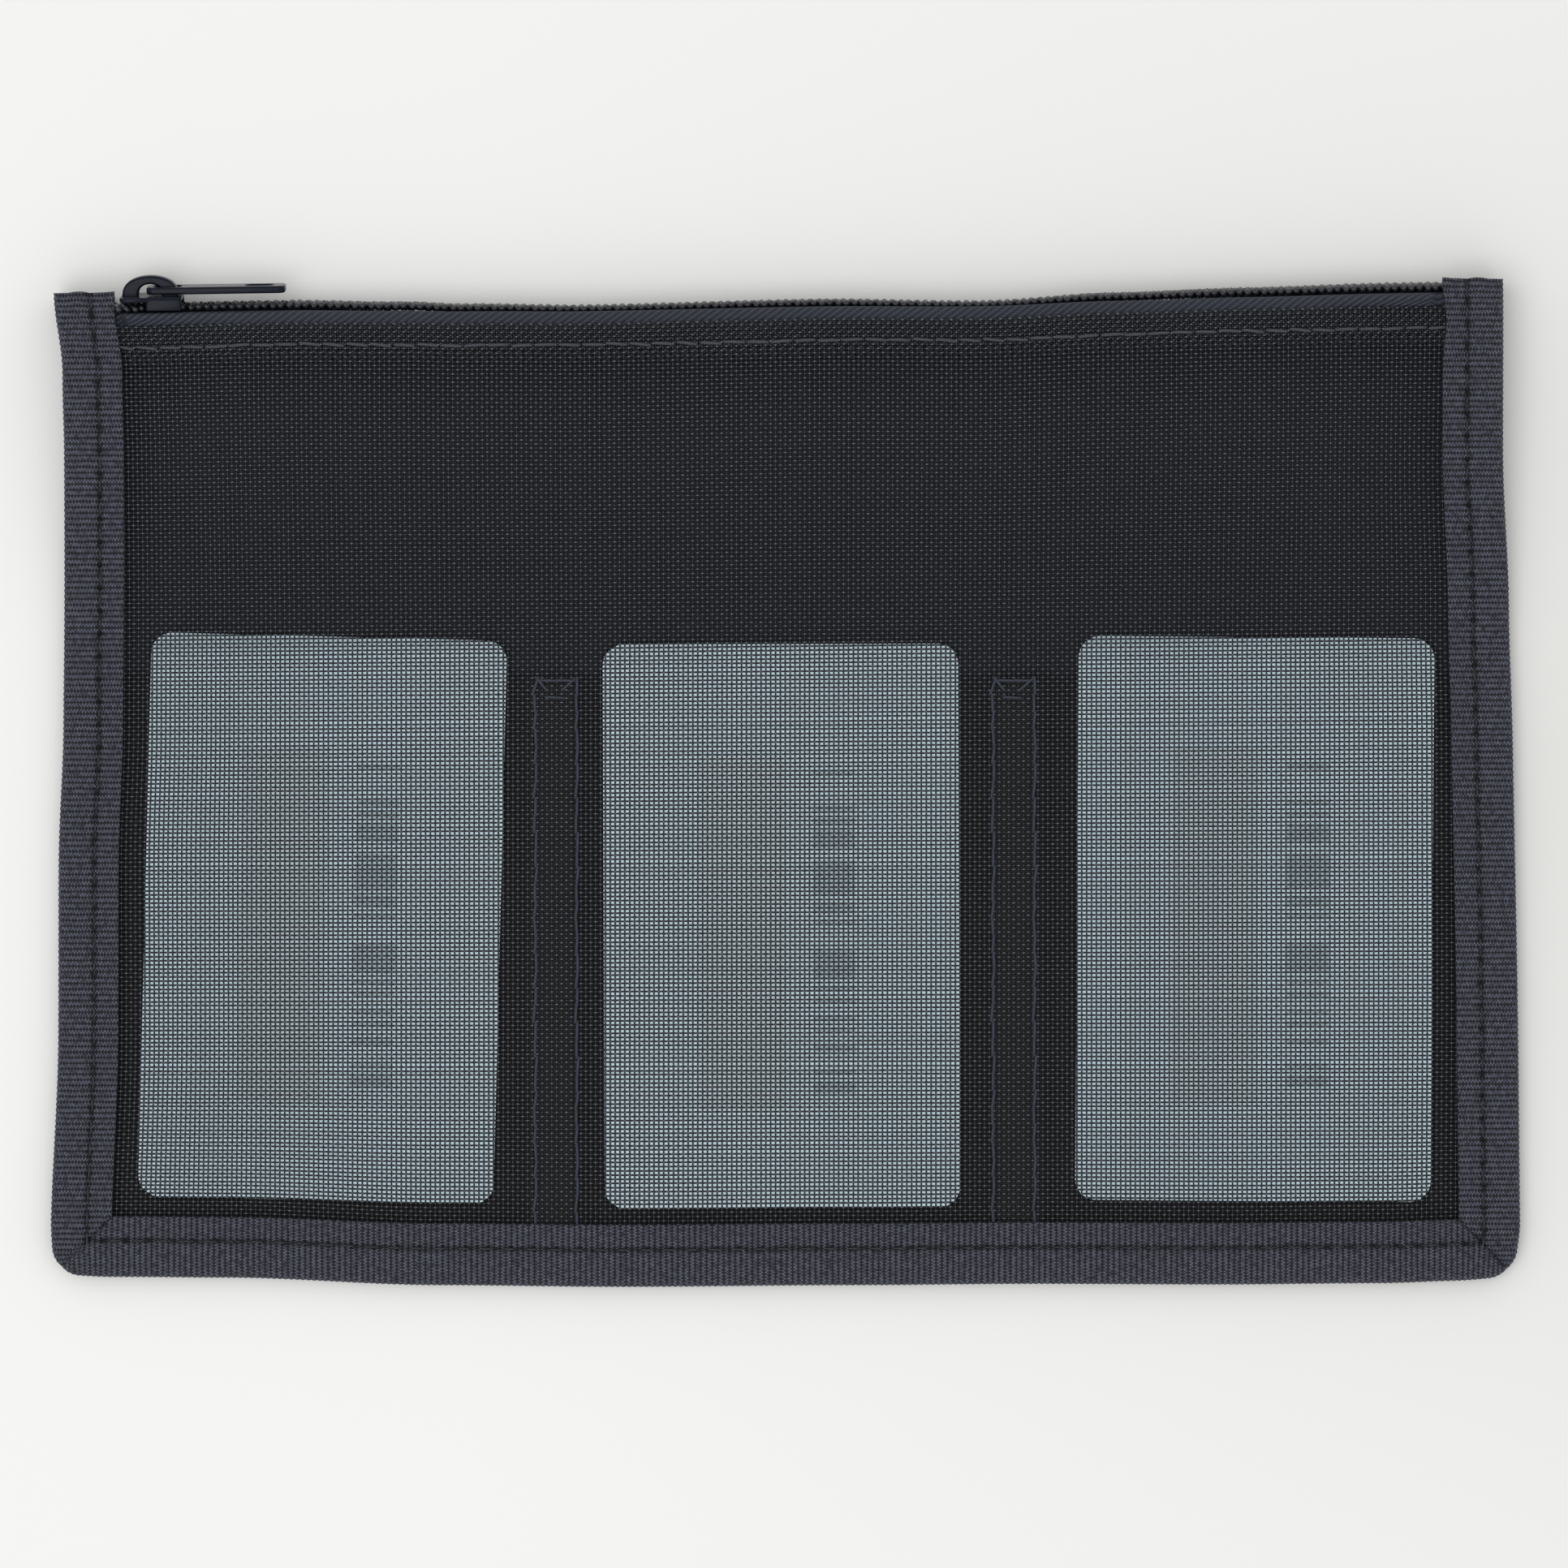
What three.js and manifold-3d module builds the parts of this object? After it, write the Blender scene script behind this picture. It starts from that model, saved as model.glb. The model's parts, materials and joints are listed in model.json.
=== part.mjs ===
// Zipped pencil pouch with a see-through mesh front and three card pockets, lying on its back.
// Millimetres. X runs from left to right along the zip, Y from the bottom seam to the zip,
// and Z up from the table. The origin is the middle of the back's resting face.

import * as THREE from 'three';
import { mergeVertices } from 'three/addons/utils/BufferGeometryUtils.js';
import Module from 'manifold-3d';

const wasm = await Module();
wasm.setup();

const degrees = Math.PI / 180;

// Cards, of the common identity card size
const cardWidth = 53.98;
const cardHeight = 85.6;
const cardThickness = 0.76;
const cardCornerRadius = 3.18;
const cardClearance = 0.2;          // above and below a card in its pocket
const cardLift = 1.85;              // from the bottom binding to the lowest card

// Cloth and tape
const frontThickness = 0.35;        // woven mesh
const pocketThickness = 0.3;
const backThickness = 0.4;
const bindingThickness = 0.45;
const tapeThickness = 0.4;          // zip tape
const layerGap = 0.1;               // between two layers that are sewn together

// Outline
const pouchHeight = 152;
const pocketEase = 9.8;             // how much wider a pocket is than its card
const dividerWidth = 6.3;           // between the two stitch lines of a divider
const bindingWidth = 9.8;           // on the front
const bindingBackWidth = 8.8;       // on the back
const bottomShift = 0.15;           // the bottom edge's middle, to the right of the origin
const topShift = -0.65;             // the zip edge's middle, to the left of the origin
const topNarrowing = 3.4;           // how much narrower the pouch is at the zip
const cornerRadius = 4;
const bindingNoseRadius = 1.1;      // of the tape where it turns round the edge
const bindingOverLeft = 3.2;        // of the left binding past the zip line
const bindingOverRight = 2.2;
const panelInset = 2;               // from the binding's outer edge to the edge of the cloth

// Pockets
const pocketDepth = 82.5;           // from the bottom binding to the pockets' open edge
const pocketHem = 7;
const hemStep = 0.4;                // run of the step from two layers to one
const pocketRamp = 3.1;             // run from a divider's seam down to the pocket's floor

// Form of the pouch above the cards, where it widens to the zip
const riseDelay = 2;                // from the pockets' open edge to the start of the rise
const sideRamp = 22;                // run from the side seam to the full depth
const seamEndHeight = 7;            // of the side binding at the zip
const seamEndRise = 0.7;            // of the side binding above the table at the zip
const seamRamp = 1.7;               // run over which the cloth climbs onto the binding's back

// Zip
const zipSlope = 0.86 * degrees;    // the zip climbs a little to the right
const zipTilt = 10 * degrees;       // its face leans towards the front
const zipDrop = 2.9;                // from the top of the outline to the middle of the tapes
const tapeEdge = 0.85;              // from the middle of the zip to the edge of a tape
const tapeFlat = 3;                 // from the middle of the zip to the bend of a tape
const tapeBend = 0.7;               // radius of that bend
const tapeShown = 2.4;              // of the tape between the teeth's plane and the cloth's fold
const tapeHeld = 8.5;               // of the tape under the cloth
const tapePinch = 2.2;              // half height of the tapes where the side binding holds them
const tapePinchRun = 1;             // over which they draw in to it
const zipHem = 6.5;                 // of the front and back at the zip

// Coil teeth
const toothPitch = 1.24;
const toothGap = 0.1;               // between a tooth and the two it meshes with
const toothOverlap = 0.5;           // of a tooth's head past the middle
const toothHead = 0.62;
const coilHalfWidth = 2.15;
const coilSpine = 0.4;              // solid band between the teeth and the outer loops
const coilLoop = 0.35;              // how far the outer loops stand out of that band
const coilHeight = 1.2;
const coilLift = 0.1;               // from the tape to the coil
const coilPart = 1.2;               // how far a row moves out where the slider parts the two

// Slider, with X from its middle, Y out of the zip's face and Z towards the front
const sliderLength = 9.4;
const sliderWidth = 7.6;
const sliderTailWidth = 6.6;
const sliderClearance = 0.3;        // to the coil and the tapes
const sliderPlate = 0.75;
const sliderCorner = 1.6;
const sliderFlangeLength = 5.4;
const sliderFlangeThickness = 0.9;
const sliderBaseWidth = 4.8;
const sliderEndGap = 0.5;           // to the side binding
const postLength = 2.1;
const postWidth = 1.1;
const postInset = 0.15;             // from the slider's nose to its post
const partingStart = 0.9;           // from the slider's middle towards its nose
const partingLength = 2.3;
const bailLength = 8.5;
const bailHeight = 3.05;
const bailWidth = 2.2;
const bailWindow = 3.8;
const bailWindowHeight = 1.7;
const bailShift = -0.15;

// Pull
const pullLength = 20.5;            // from its hinge line to its free end
const pullWidth = 4.6;
const pullThickness = 1.1;
const pullCorner = 1.1;
const pullBar = 1.05;               // bar that lies inside the slider's bail
const pullEyeLength = 4.1;
const pullEyeWidth = 2.7;
const pullSlotLength = 4.2;
const pullSlotWidth = 2.2;
const pullSlotMargin = 1.9;         // from the slot to the free end
const pullBevel = 0.3;
const hingeClearance = 0.25;

// Where each card lies in its pocket: how far off the middle, how high, and how far turned
const cardPlaces = [
  { name: 'card_left', shift: -0.15, lift: 1.15, turn: -1.4 * degrees },
  { name: 'card_middle', shift: -0.55, lift: 0, turn: 0.2 * degrees },
  { name: 'card_right', shift: 1.25, lift: 1.05, turn: -0.4 * degrees },
];

// Heights of the layers where the pouch lies flat
const pocketZ = backThickness + layerGap + pocketThickness;
const cardZ = pocketZ + pocketThickness + cardClearance;
const frontZ = cardZ + cardThickness + cardClearance;
const flatTopZ = frontZ + frontThickness;
const seamHeight = flatTopZ + layerGap + bindingThickness;

// The zip line and the front's height there
const tapeReach = (tapeFlat + tapeBend) * Math.cos(zipTilt);
const tapeStack = tapeThickness / 2 + layerGap;
const zipZ = 2 * backThickness + tapeStack + tapeReach;
const zipTopZ = zipZ + tapeReach + tapeStack + 2 * frontThickness;

// The outline's places
const bottomWidth = 3 * (cardWidth + pocketEase) + 2 * dividerWidth + 2 * bindingWidth;
const topWidth = bottomWidth - topNarrowing;
const bottomY = -pouchHeight / 2;
const zipY = pouchHeight / 2 - zipDrop;
const pocketFloorY = bottomY + bindingWidth;
const pocketTopY = pocketFloorY + pocketDepth;
const riseStartY = pocketTopY + riseDelay;
const riseEndY = zipY - tapeShown - tapeHeld - 2 * riseDelay;

const lerp = THREE.MathUtils.lerp;

function smooth(value) {
  return THREE.MathUtils.smoothstep(value, 0, 1);
}

function zipLineY(x) {
  return zipY + x * Math.tan(zipSlope);
}

function foldY(x) {
  return zipLineY(x) - tapeShown;
}

// X of the left (side -1) or right (side 1) outer edge at a height y
function sideX(side, y) {
  const share = (y - bottomY) / pouchHeight;
  const middle = lerp(bottomShift, topShift, share);
  return middle + side * lerp(bottomWidth, topWidth, share) / 2;
}

// Height of the binding's end, a little past the zip line at its inner edge
function bindingEndY(side) {
  const innerX = sideX(side, zipY) - side * bindingWidth;
  return zipLineY(innerX) + (side < 0 ? bindingOverLeft : bindingOverRight);
}

// How far a point lies inside the nearest of the three bound edges
function depthFromEdge(x, y) {
  return Math.min(x - sideX(-1, y), sideX(1, y) - x, y - bottomY);
}

function depthFromSide(x, y) {
  return Math.min(x - sideX(-1, y), sideX(1, y) - x);
}

// Share of the rise towards the zip, from 0 over the cards to 1 at the hem
function rise(y) {
  return smooth((y - riseStartY) / (riseEndY - riseStartY));
}

// Share of the full depth, from 0 at the side bindings to 1 in the middle
function fullness(x, y) {
  return smooth((depthFromSide(x, y) - bindingWidth) / sideRamp);
}

function seamBottomZ(y) {
  return seamEndRise * rise(y);
}

function seamTopZ(y) {
  return seamBottomZ(y) + lerp(seamHeight, seamEndHeight, rise(y));
}

// Outer face of the front
function frontOuterZ(x, y) {
  const atSeam = seamTopZ(y) - bindingThickness - layerGap;
  const inMiddle = lerp(flatTopZ, zipTopZ, rise(y));
  return lerp(atSeam, inMiddle, fullness(x, y));
}

// Climb of a layer onto the back leg of the binding, from 0 to 1
function seamClimb(x, y) {
  return 1 - smooth((depthFromEdge(x, y) - bindingBackWidth - layerGap) / seamRamp);
}

// Outer face of the back
function backOuterZ(x, y) {
  const climb = (bindingThickness + layerGap) * seamClimb(x, y);
  return climb + seamBottomZ(y) * (1 - fullness(x, y));
}

// Middle of the divider on the left (side -1) or the right (side 1) of the middle pocket
function dividerX(side) {
  return side * (cardWidth + pocketEase + dividerWidth) / 2 + bottomShift;
}

// Share of the pocket panel's lift to the front, from 0 on a pocket's floor to 1 on a divider
function dividerPinch(x) {
  const nearest = Math.min(Math.abs(x - dividerX(-1)), Math.abs(x - dividerX(1)));
  return 1 - smooth((nearest - dividerWidth / 2) / pocketRamp);
}

function pocketUnderZ(x, y) {
  const floor = pocketZ + (bindingThickness + layerGap) * seamClimb(x, y);
  const sewn = frontZ - layerGap - pocketThickness;
  return lerp(floor, sewn, dividerPinch(x));
}

// Closed mesh from points and triangles, turned to face out
function closedGeometry(points, triangles) {
  const a = new THREE.Vector3();
  let volume = 0;
  for (const [i, j, k] of triangles) {
    a.crossVectors(points[i], points[j]);
    volume += a.dot(points[k]);
  }
  const facing = volume < 0 ? triangles.map(([i, j, k]) => [i, k, j]) : triangles;
  const geometry = new THREE.BufferGeometry().setFromPoints(points);
  geometry.setIndex(facing.flat());
  return geometry;
}

// Solid sheet between two grids of points with the same rows and columns
function sheetSolid(outer, inner) {
  const rows = outer.length;
  const columns = outer[0].length;
  const points = [...outer.flat(), ...inner.flat()];
  const at = (layer, i, j) => (layer * rows + i) * columns + j;
  const triangles = [];
  const quad = (a, b, c, d) => triangles.push([a, b, c], [a, c, d]);
  for (let i = 0; i + 1 < rows; i += 1) {
    for (let j = 0; j + 1 < columns; j += 1) {
      quad(at(0, i, j), at(0, i, j + 1), at(0, i + 1, j + 1), at(0, i + 1, j));
      quad(at(1, i, j), at(1, i + 1, j), at(1, i + 1, j + 1), at(1, i, j + 1));
    }
  }
  for (let i = 0; i + 1 < rows; i += 1) {
    const last = columns - 1;
    quad(at(0, i, 0), at(0, i + 1, 0), at(1, i + 1, 0), at(1, i, 0));
    quad(at(0, i, last), at(1, i, last), at(1, i + 1, last), at(0, i + 1, last));
  }
  for (let j = 0; j + 1 < columns; j += 1) {
    const last = rows - 1;
    quad(at(0, 0, j), at(1, 0, j), at(1, 0, j + 1), at(0, 0, j + 1));
    quad(at(0, last, j), at(0, last, j + 1), at(1, last, j + 1), at(1, last, j));
  }
  return closedGeometry(points, triangles);
}

// Panel of cloth. A column is a function from y to x, and a row one from x to y.
function panelSolid(columns, rows, topZ, underZ) {
  const grid = (height) => rows.map((row) => columns.map((column) => {
    const x = column(row(column(0)));
    const y = row(x);
    return new THREE.Vector3(column(y), y, height(x, y));
  }));
  return sheetSolid(grid(topZ), grid(underZ));
}

function insetColumn(side, depth) {
  return (y) => sideX(side, y) - side * depth;
}

// Columns of a panel: its edges, its climb onto the binding and the ramp beside it
function panelColumns(depths, middle) {
  const left = depths.map((depth) => insetColumn(-1, depth));
  const right = depths.map((depth) => insetColumn(1, depth)).reverse();
  return [...left, ...middle, ...right];
}

function steps(from, to, count) {
  return Array.from({ length: count + 1 }, (_, i) => lerp(from, to, i / count));
}

function level(y) {
  return () => y;
}

const climbDepths = [panelInset, bindingBackWidth, ...steps(
  bindingBackWidth + layerGap,
  bindingBackWidth + layerGap + seamRamp,
  2,
)];
const rampDepths = steps(bindingWidth + sideRamp / 3, bindingWidth + sideRamp, 2);
const climbRows = climbDepths.map((depth) => level(bottomY + depth));
const riseRows = steps(riseStartY, riseEndY, 6).map(level);

// Rows of the hem at the zip: the step to one layer, and the fold
function hemRows(depth) {
  return [
    (x) => foldY(x) - depth - hemStep,
    (x) => foldY(x) - depth,
    (x) => foldY(x),
  ];
}

function hemShare(x, y) {
  return 1 - smooth((foldY(x) - zipHem - y) / hemStep);
}

function frontPanel() {
  const columns = panelColumns([panelInset, bindingWidth, ...rampDepths], []);
  const rows = [level(bottomY + panelInset), ...riseRows, ...hemRows(zipHem)];
  const underZ = (x, y) => frontOuterZ(x, y) - frontThickness * (1 + hemShare(x, y));
  return panelSolid(columns, rows, frontOuterZ, underZ);
}

function backPanel() {
  const columns = panelColumns([...climbDepths, ...rampDepths], []);
  const rows = [...climbRows, ...riseRows, ...hemRows(zipHem)];
  const topZ = (x, y) => backOuterZ(x, y) + backThickness * (1 + hemShare(x, y));
  return panelSolid(columns, rows, topZ, backOuterZ);
}

// Columns across one divider: down to the floor, the seam, and up again
function dividerColumns(side) {
  const seam = dividerWidth / 2;
  const left = steps(-seam - pocketRamp, -seam, 3);
  const right = steps(seam, seam + pocketRamp, 3);
  return [...left, ...right].map((offset) => level(dividerX(side) + offset));
}

function pocketPanel() {
  const middle = [...dividerColumns(-1), ...dividerColumns(1)];
  const columns = panelColumns(climbDepths, middle);
  const hemStart = pocketTopY - pocketHem;
  const rows = [...climbRows, ...[hemStart - hemStep, hemStart, pocketTopY].map(level)];
  const underZ = (x, y) => {
    const doubled = 1 - smooth((hemStart - y) / hemStep);
    return pocketUnderZ(x, y) - pocketThickness * doubled;
  };
  const topZ = (x, y) => pocketUnderZ(x, y) + pocketThickness;
  return panelSolid(columns, rows, topZ, underZ);
}

// Points along the two sides and the bottom at a given depth, from the left end to the right
// end. Every depth has the same number of points, so that the rings fit together.
function edgePath(depth) {
  const cornerSteps = 5;
  const sideRows = steps(riseEndY, riseStartY, 6);
  const radius = Math.max(cornerRadius - depth, bindingThickness);
  const side = (which) => {
    const rows = [bindingEndY(which), ...sideRows];
    return rows.map((y) => new THREE.Vector2(sideX(which, y) - which * depth, y));
  };
  const corner = (which) => {
    const centreY = bottomY + depth + radius;
    const centreX = sideX(which, centreY) - which * (depth + radius);
    return steps(0, Math.PI / 2, cornerSteps).map((turn) => new THREE.Vector2(
      centreX + which * radius * Math.cos(turn),
      centreY - radius * Math.sin(turn),
    ));
  };
  return [...side(-1), ...corner(-1), ...corner(1).reverse(), ...side(1).reverse()];
}

// Folded section of the binding from its front edge to its back edge. Each point is a depth
// from the pouch's edge and a height share, with the tape's thickness taken off inside.
function bindingSection(offset) {
  const radius = bindingNoseRadius - offset;
  const nose = (from, to) => steps(from, to, 3).map((turn) => ({
    depth: bindingNoseRadius - radius * Math.sin(turn),
    lift: radius * Math.cos(turn),
  }));
  const front = nose(0, Math.PI / 2).map((point) => ({ ...point, top: true }));
  const back = nose(Math.PI / 2, Math.PI).map((point) => ({ ...point, top: false }));
  return [
    { depth: bindingWidth, lift: radius, top: true },
    ...front,
    ...back,
    { depth: bindingBackWidth, lift: -radius, top: false },
  ];
}

function edgeBinding() {
  const grid = (offset) => bindingSection(offset).map(({ depth, lift, top }) => (
    edgePath(depth).map(({ x, y }) => {
      const centre = top ? seamTopZ(y) - bindingNoseRadius : seamBottomZ(y) + bindingNoseRadius;
      return new THREE.Vector3(x, y, centre + lift);
    })
  ));
  return sheetSolid(grid(0), grid(bindingThickness));
}

// Path through three points with its middle corner rounded
function roundedCorner(start, corner, end, radius, count) {
  const back = start.clone().sub(corner).normalize();
  const ahead = end.clone().sub(corner).normalize();
  const half = Math.acos(THREE.MathUtils.clamp(back.dot(ahead), -1, 1)) / 2;
  const reach = radius / Math.tan(half);
  const from = corner.clone().addScaledVector(back, reach);
  const to = corner.clone().addScaledVector(ahead, reach);
  const centre = corner.clone().addScaledVector(back.add(ahead).normalize(), radius / Math.sin(half));
  return steps(0, 1, count).map((share) => {
    const chord = from.clone().lerp(to, share).sub(centre).normalize();
    return centre.clone().addScaledVector(chord, radius);
  });
}

// Two lines at half the thickness on either side of a path
function thicken(path, thickness) {
  const normalAt = (i) => {
    const before = path[Math.max(i - 1, 0)];
    const after = path[Math.min(i + 1, path.length - 1)];
    const along = after.clone().sub(before).normalize();
    return new THREE.Vector2(-along.y, along.x);
  };
  const shifted = (distance) => path.map((point, i) => (
    point.clone().addScaledVector(normalAt(i), distance)
  ));
  return [shifted(thickness / 2), shifted(-thickness / 2)];
}

// Section of one tape at x, from its edge at the teeth, round its bend, to its end under the
// cloth. Side 1 is the front tape and side -1 the back one.
function tapeSection(side, x) {
  const pastBinding = depthFromSide(x, zipY) - bindingWidth - layerGap;
  const reach = lerp(tapePinch, tapeFlat + tapeBend, smooth(pastBinding / tapePinchRun));
  const onFace = (distance) => new THREE.Vector2(
    zipLineY(x) - side * distance * Math.sin(zipTilt),
    zipZ + side * distance * Math.cos(zipTilt),
  );
  const clothZ = side > 0 ? frontOuterZ(x, foldY(x)) : backOuterZ(x, foldY(x));
  const layers = 2 * (side > 0 ? frontThickness : backThickness) + tapeStack;
  const heldZ = clothZ - side * layers;
  const held = new THREE.Vector2(foldY(x), heldZ);
  const end = new THREE.Vector2(foldY(x) - tapeHeld, heldZ);
  return [
    onFace(tapeEdge),
    ...roundedCorner(onFace(tapeEdge), onFace(reach), held, tapeBend / 2, 3),
    held,
    end,
  ];
}

function zipTape(side) {
  const left = sideX(-1, zipY);
  const right = sideX(1, zipY);
  const pinchStart = bindingWidth + layerGap;
  const depths = [
    ...climbDepths,
    ...steps(pinchStart, pinchStart + tapePinchRun, 4),
    ...rampDepths,
  ].sort((a, b) => a - b);
  const stations = [
    ...depths.map((depth) => left + depth),
    ...depths.map((depth) => right - depth).reverse(),
  ];
  const sections = stations.map((x) => thicken(tapeSection(side, x), tapeThickness)
    .map((line) => line.map((point) => new THREE.Vector3(x, point.x, point.y))));
  return sheetSolid(sections.map(([outer]) => outer), sections.map(([, inner]) => inner));
}

// Extrusion of an outline drawn in X and Z, between two heights in Y
function raised(shape, lowY, highY, bevel = 0) {
  const geometry = new THREE.ExtrudeGeometry(shape, {
    depth: highY - lowY - 2 * bevel,
    curveSegments: 4,
    bevelEnabled: bevel > 0,
    bevelThickness: bevel,
    bevelSize: bevel,
    bevelOffset: -bevel,
    bevelSegments: 1,
  });
  geometry.rotateX(Math.PI / 2);
  geometry.translate(0, highY - bevel, 0);
  return geometry;
}

function roundedRectangle(path, x, y, width, height, radius) {
  path.moveTo(x + radius, y);
  path.lineTo(x + width - radius, y);
  path.absarc(x + width - radius, y + radius, radius, -Math.PI / 2, 0);
  path.lineTo(x + width, y + height - radius);
  path.absarc(x + width - radius, y + height - radius, radius, 0, Math.PI / 2);
  path.lineTo(x + radius, y + height);
  path.absarc(x + radius, y + height - radius, radius, Math.PI / 2, Math.PI);
  path.lineTo(x, y + radius);
  path.absarc(x + radius, y + radius, radius, Math.PI, 1.5 * Math.PI);
  return path;
}

function asManifold(geometry) {
  const bare = geometry.clone();
  bare.deleteAttribute('normal');
  bare.deleteAttribute('uv');
  const merged = mergeVertices(bare, 1e-4);
  return new wasm.Manifold(new wasm.Mesh({
    numProp: 3,
    vertProperties: new Float32Array(merged.attributes.position.array),
    triVerts: new Uint32Array(merged.index.array),
  }));
}

function joined(geometries) {
  const solid = geometries.map(asManifold).reduce((sum, next) => sum.add(next));
  const mesh = solid.getMesh();
  const geometry = new THREE.BufferGeometry();
  geometry.setAttribute('position', new THREE.BufferAttribute(mesh.vertProperties, 3));
  geometry.setIndex(new THREE.BufferAttribute(mesh.triVerts, 1));
  return geometry;
}

// Heights in the zip's own frame, with Y out of its face
const coilLowY = tapeThickness / 2 + coilLift;
const coilTopY = coilLowY + coilHeight;
const plateLowY = coilTopY + sliderClearance;
const plateTopY = plateLowY + sliderPlate;
const baseTopY = -tapeThickness / 2 - sliderClearance;
const hingeY = plateTopY + pullThickness / 2 + hingeClearance;

// The slider's place, and how far it can travel, between the two side bindings
const sliderStartX = sideX(-1, zipY) + bindingWidth + sliderEndGap + sliderLength / 2;
const coilStartX = sideX(-1, zipY) + bindingWidth + sliderEndGap;
const coilEndX = sideX(1, zipY) - bindingWidth - sliderEndGap;

// How far a row of teeth moves out of line beside the slider's post
function parting(x) {
  return coilPart * smooth((sliderStartX - partingStart - x) / partingLength);
}

// Width of a tooth at a distance from the zip's middle, negative past it. It grows towards
// the head, so that the teeth of the two rows hold each other.
function toothWidth(distance) {
  const pair = toothPitch - 2 * toothGap;
  const growth = (toothHead - pair / 2) / toothOverlap;
  return pair / 2 - growth * distance;
}

// Row of coil teeth. Side 1 is the front row, and the rows stand half a pitch apart.
function zipTeeth(side) {
  const rootZ = coilHalfWidth - coilLoop - coilSpine;
  const firstX = coilStartX + toothPitch * (side > 0 ? 0.5 : 1);
  const count = Math.floor((coilEndX - firstX) / toothPitch);
  const centres = Array.from({ length: count }, (_, i) => firstX + i * toothPitch);
  const place = (x, z) => new THREE.Vector2(x, side * (z + parting(x)));
  const teeth = centres.flatMap((x) => {
    const root = toothWidth(rootZ) / 2;
    const head = toothHead / 2;
    return [
      place(x - root, rootZ),
      place(x - head, -toothOverlap),
      place(x + head, -toothOverlap),
      place(x + root, rootZ),
    ];
  });
  const loops = centres.flatMap((x) => [
    place(x - toothPitch / 2, coilHalfWidth - coilLoop),
    place(x, coilHalfWidth),
  ]);
  const lastX = centres[count - 1] + toothPitch / 2;
  const outline = [
    ...teeth,
    place(lastX, rootZ),
    place(lastX, coilHalfWidth - coilLoop),
    ...loops.reverse(),
    place(firstX - toothPitch / 2, rootZ),
  ];
  return raised(new THREE.Shape(outline), coilLowY, coilTopY);
}

// Outline of the slider's plates: full width at the nose on the left, narrower at the tail
function sliderOutline(noseWidth, tailWidth) {
  const half = sliderLength / 2;
  const nose = noseWidth / 2;
  const tail = tailWidth / 2;
  const shape = new THREE.Shape();
  shape.moveTo(-half + sliderCorner, -nose);
  shape.quadraticCurveTo(-partingStart, -nose, 0, -tail);
  shape.lineTo(half - sliderCorner / 2, -tail);
  shape.quadraticCurveTo(half, -tail, half, -tail + sliderCorner);
  shape.lineTo(half, tail - sliderCorner);
  shape.quadraticCurveTo(half, tail, half - sliderCorner / 2, tail);
  shape.lineTo(0, tail);
  shape.quadraticCurveTo(-partingStart, nose, -half + sliderCorner, nose);
  shape.quadraticCurveTo(-half, nose, -half, nose - sliderCorner);
  shape.lineTo(-half, -nose + sliderCorner);
  shape.quadraticCurveTo(-half, -nose, -half + sliderCorner, -nose);
  return shape;
}

// Wall beside the closed teeth, down to just above the tape
function sliderFlange(side) {
  const inner = coilHalfWidth + sliderClearance;
  const low = Math.min(side * inner, side * (inner + sliderFlangeThickness));
  const shape = new THREE.Shape();
  const start = sliderLength / 2 - sliderFlangeLength;
  roundedRectangle(
    shape,
    start,
    low,
    sliderFlangeLength,
    sliderFlangeThickness,
    sliderFlangeThickness / 4,
  );
  return raised(shape, tapeThickness / 2 + sliderClearance, plateLowY + sliderPlate / 2);
}

// Wedge that parts the two rows, pointed towards the closed teeth
function sliderPost() {
  const start = -sliderLength / 2 + postInset;
  const half = postWidth / 2;
  const shape = new THREE.Shape([
    new THREE.Vector2(start, -half / 2),
    new THREE.Vector2(start + postLength / 2, -half),
    new THREE.Vector2(start + postLength, -half / 4),
    new THREE.Vector2(start + postLength, half / 4),
    new THREE.Vector2(start + postLength / 2, half),
    new THREE.Vector2(start, half / 2),
  ]);
  return raised(shape, baseTopY - sliderPlate / 2, plateLowY + sliderPlate / 2);
}

// Arch that holds the pull, with its window open from side to side
function sliderBail() {
  const sunk = sliderPlate / 2;
  const bevel = pullBevel;
  const shape = new THREE.Shape();
  const outer = bailLength / 2;
  const inner = bailWindow / 2;
  shape.moveTo(-outer, -sunk);
  shape.lineTo(-outer, 0);
  shape.absellipse(0, 0, outer, bailHeight, Math.PI, 0, true);
  shape.lineTo(outer, -sunk);
  shape.lineTo(inner, -sunk);
  shape.lineTo(inner, 0);
  shape.absellipse(0, 0, inner, bailWindowHeight, 0, Math.PI, false);
  shape.lineTo(-inner, -sunk);
  const geometry = new THREE.ExtrudeGeometry(shape, {
    depth: bailWidth - 2 * bevel,
    curveSegments: 12,
    bevelThickness: bevel,
    bevelSize: bevel,
    bevelOffset: -bevel,
    bevelSegments: 1,
  });
  geometry.translate(bailShift, plateTopY, bevel - bailWidth / 2);
  return geometry;
}

function sliderBody() {
  return joined([
    raised(sliderOutline(sliderWidth, sliderTailWidth), plateLowY, plateTopY, sliderPlate / 4),
    sliderFlange(-1),
    sliderFlange(1),
    sliderPost(),
    raised(sliderOutline(sliderBaseWidth, sliderBaseWidth), baseTopY - sliderPlate, baseTopY),
    sliderBail(),
  ]);
}

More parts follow.
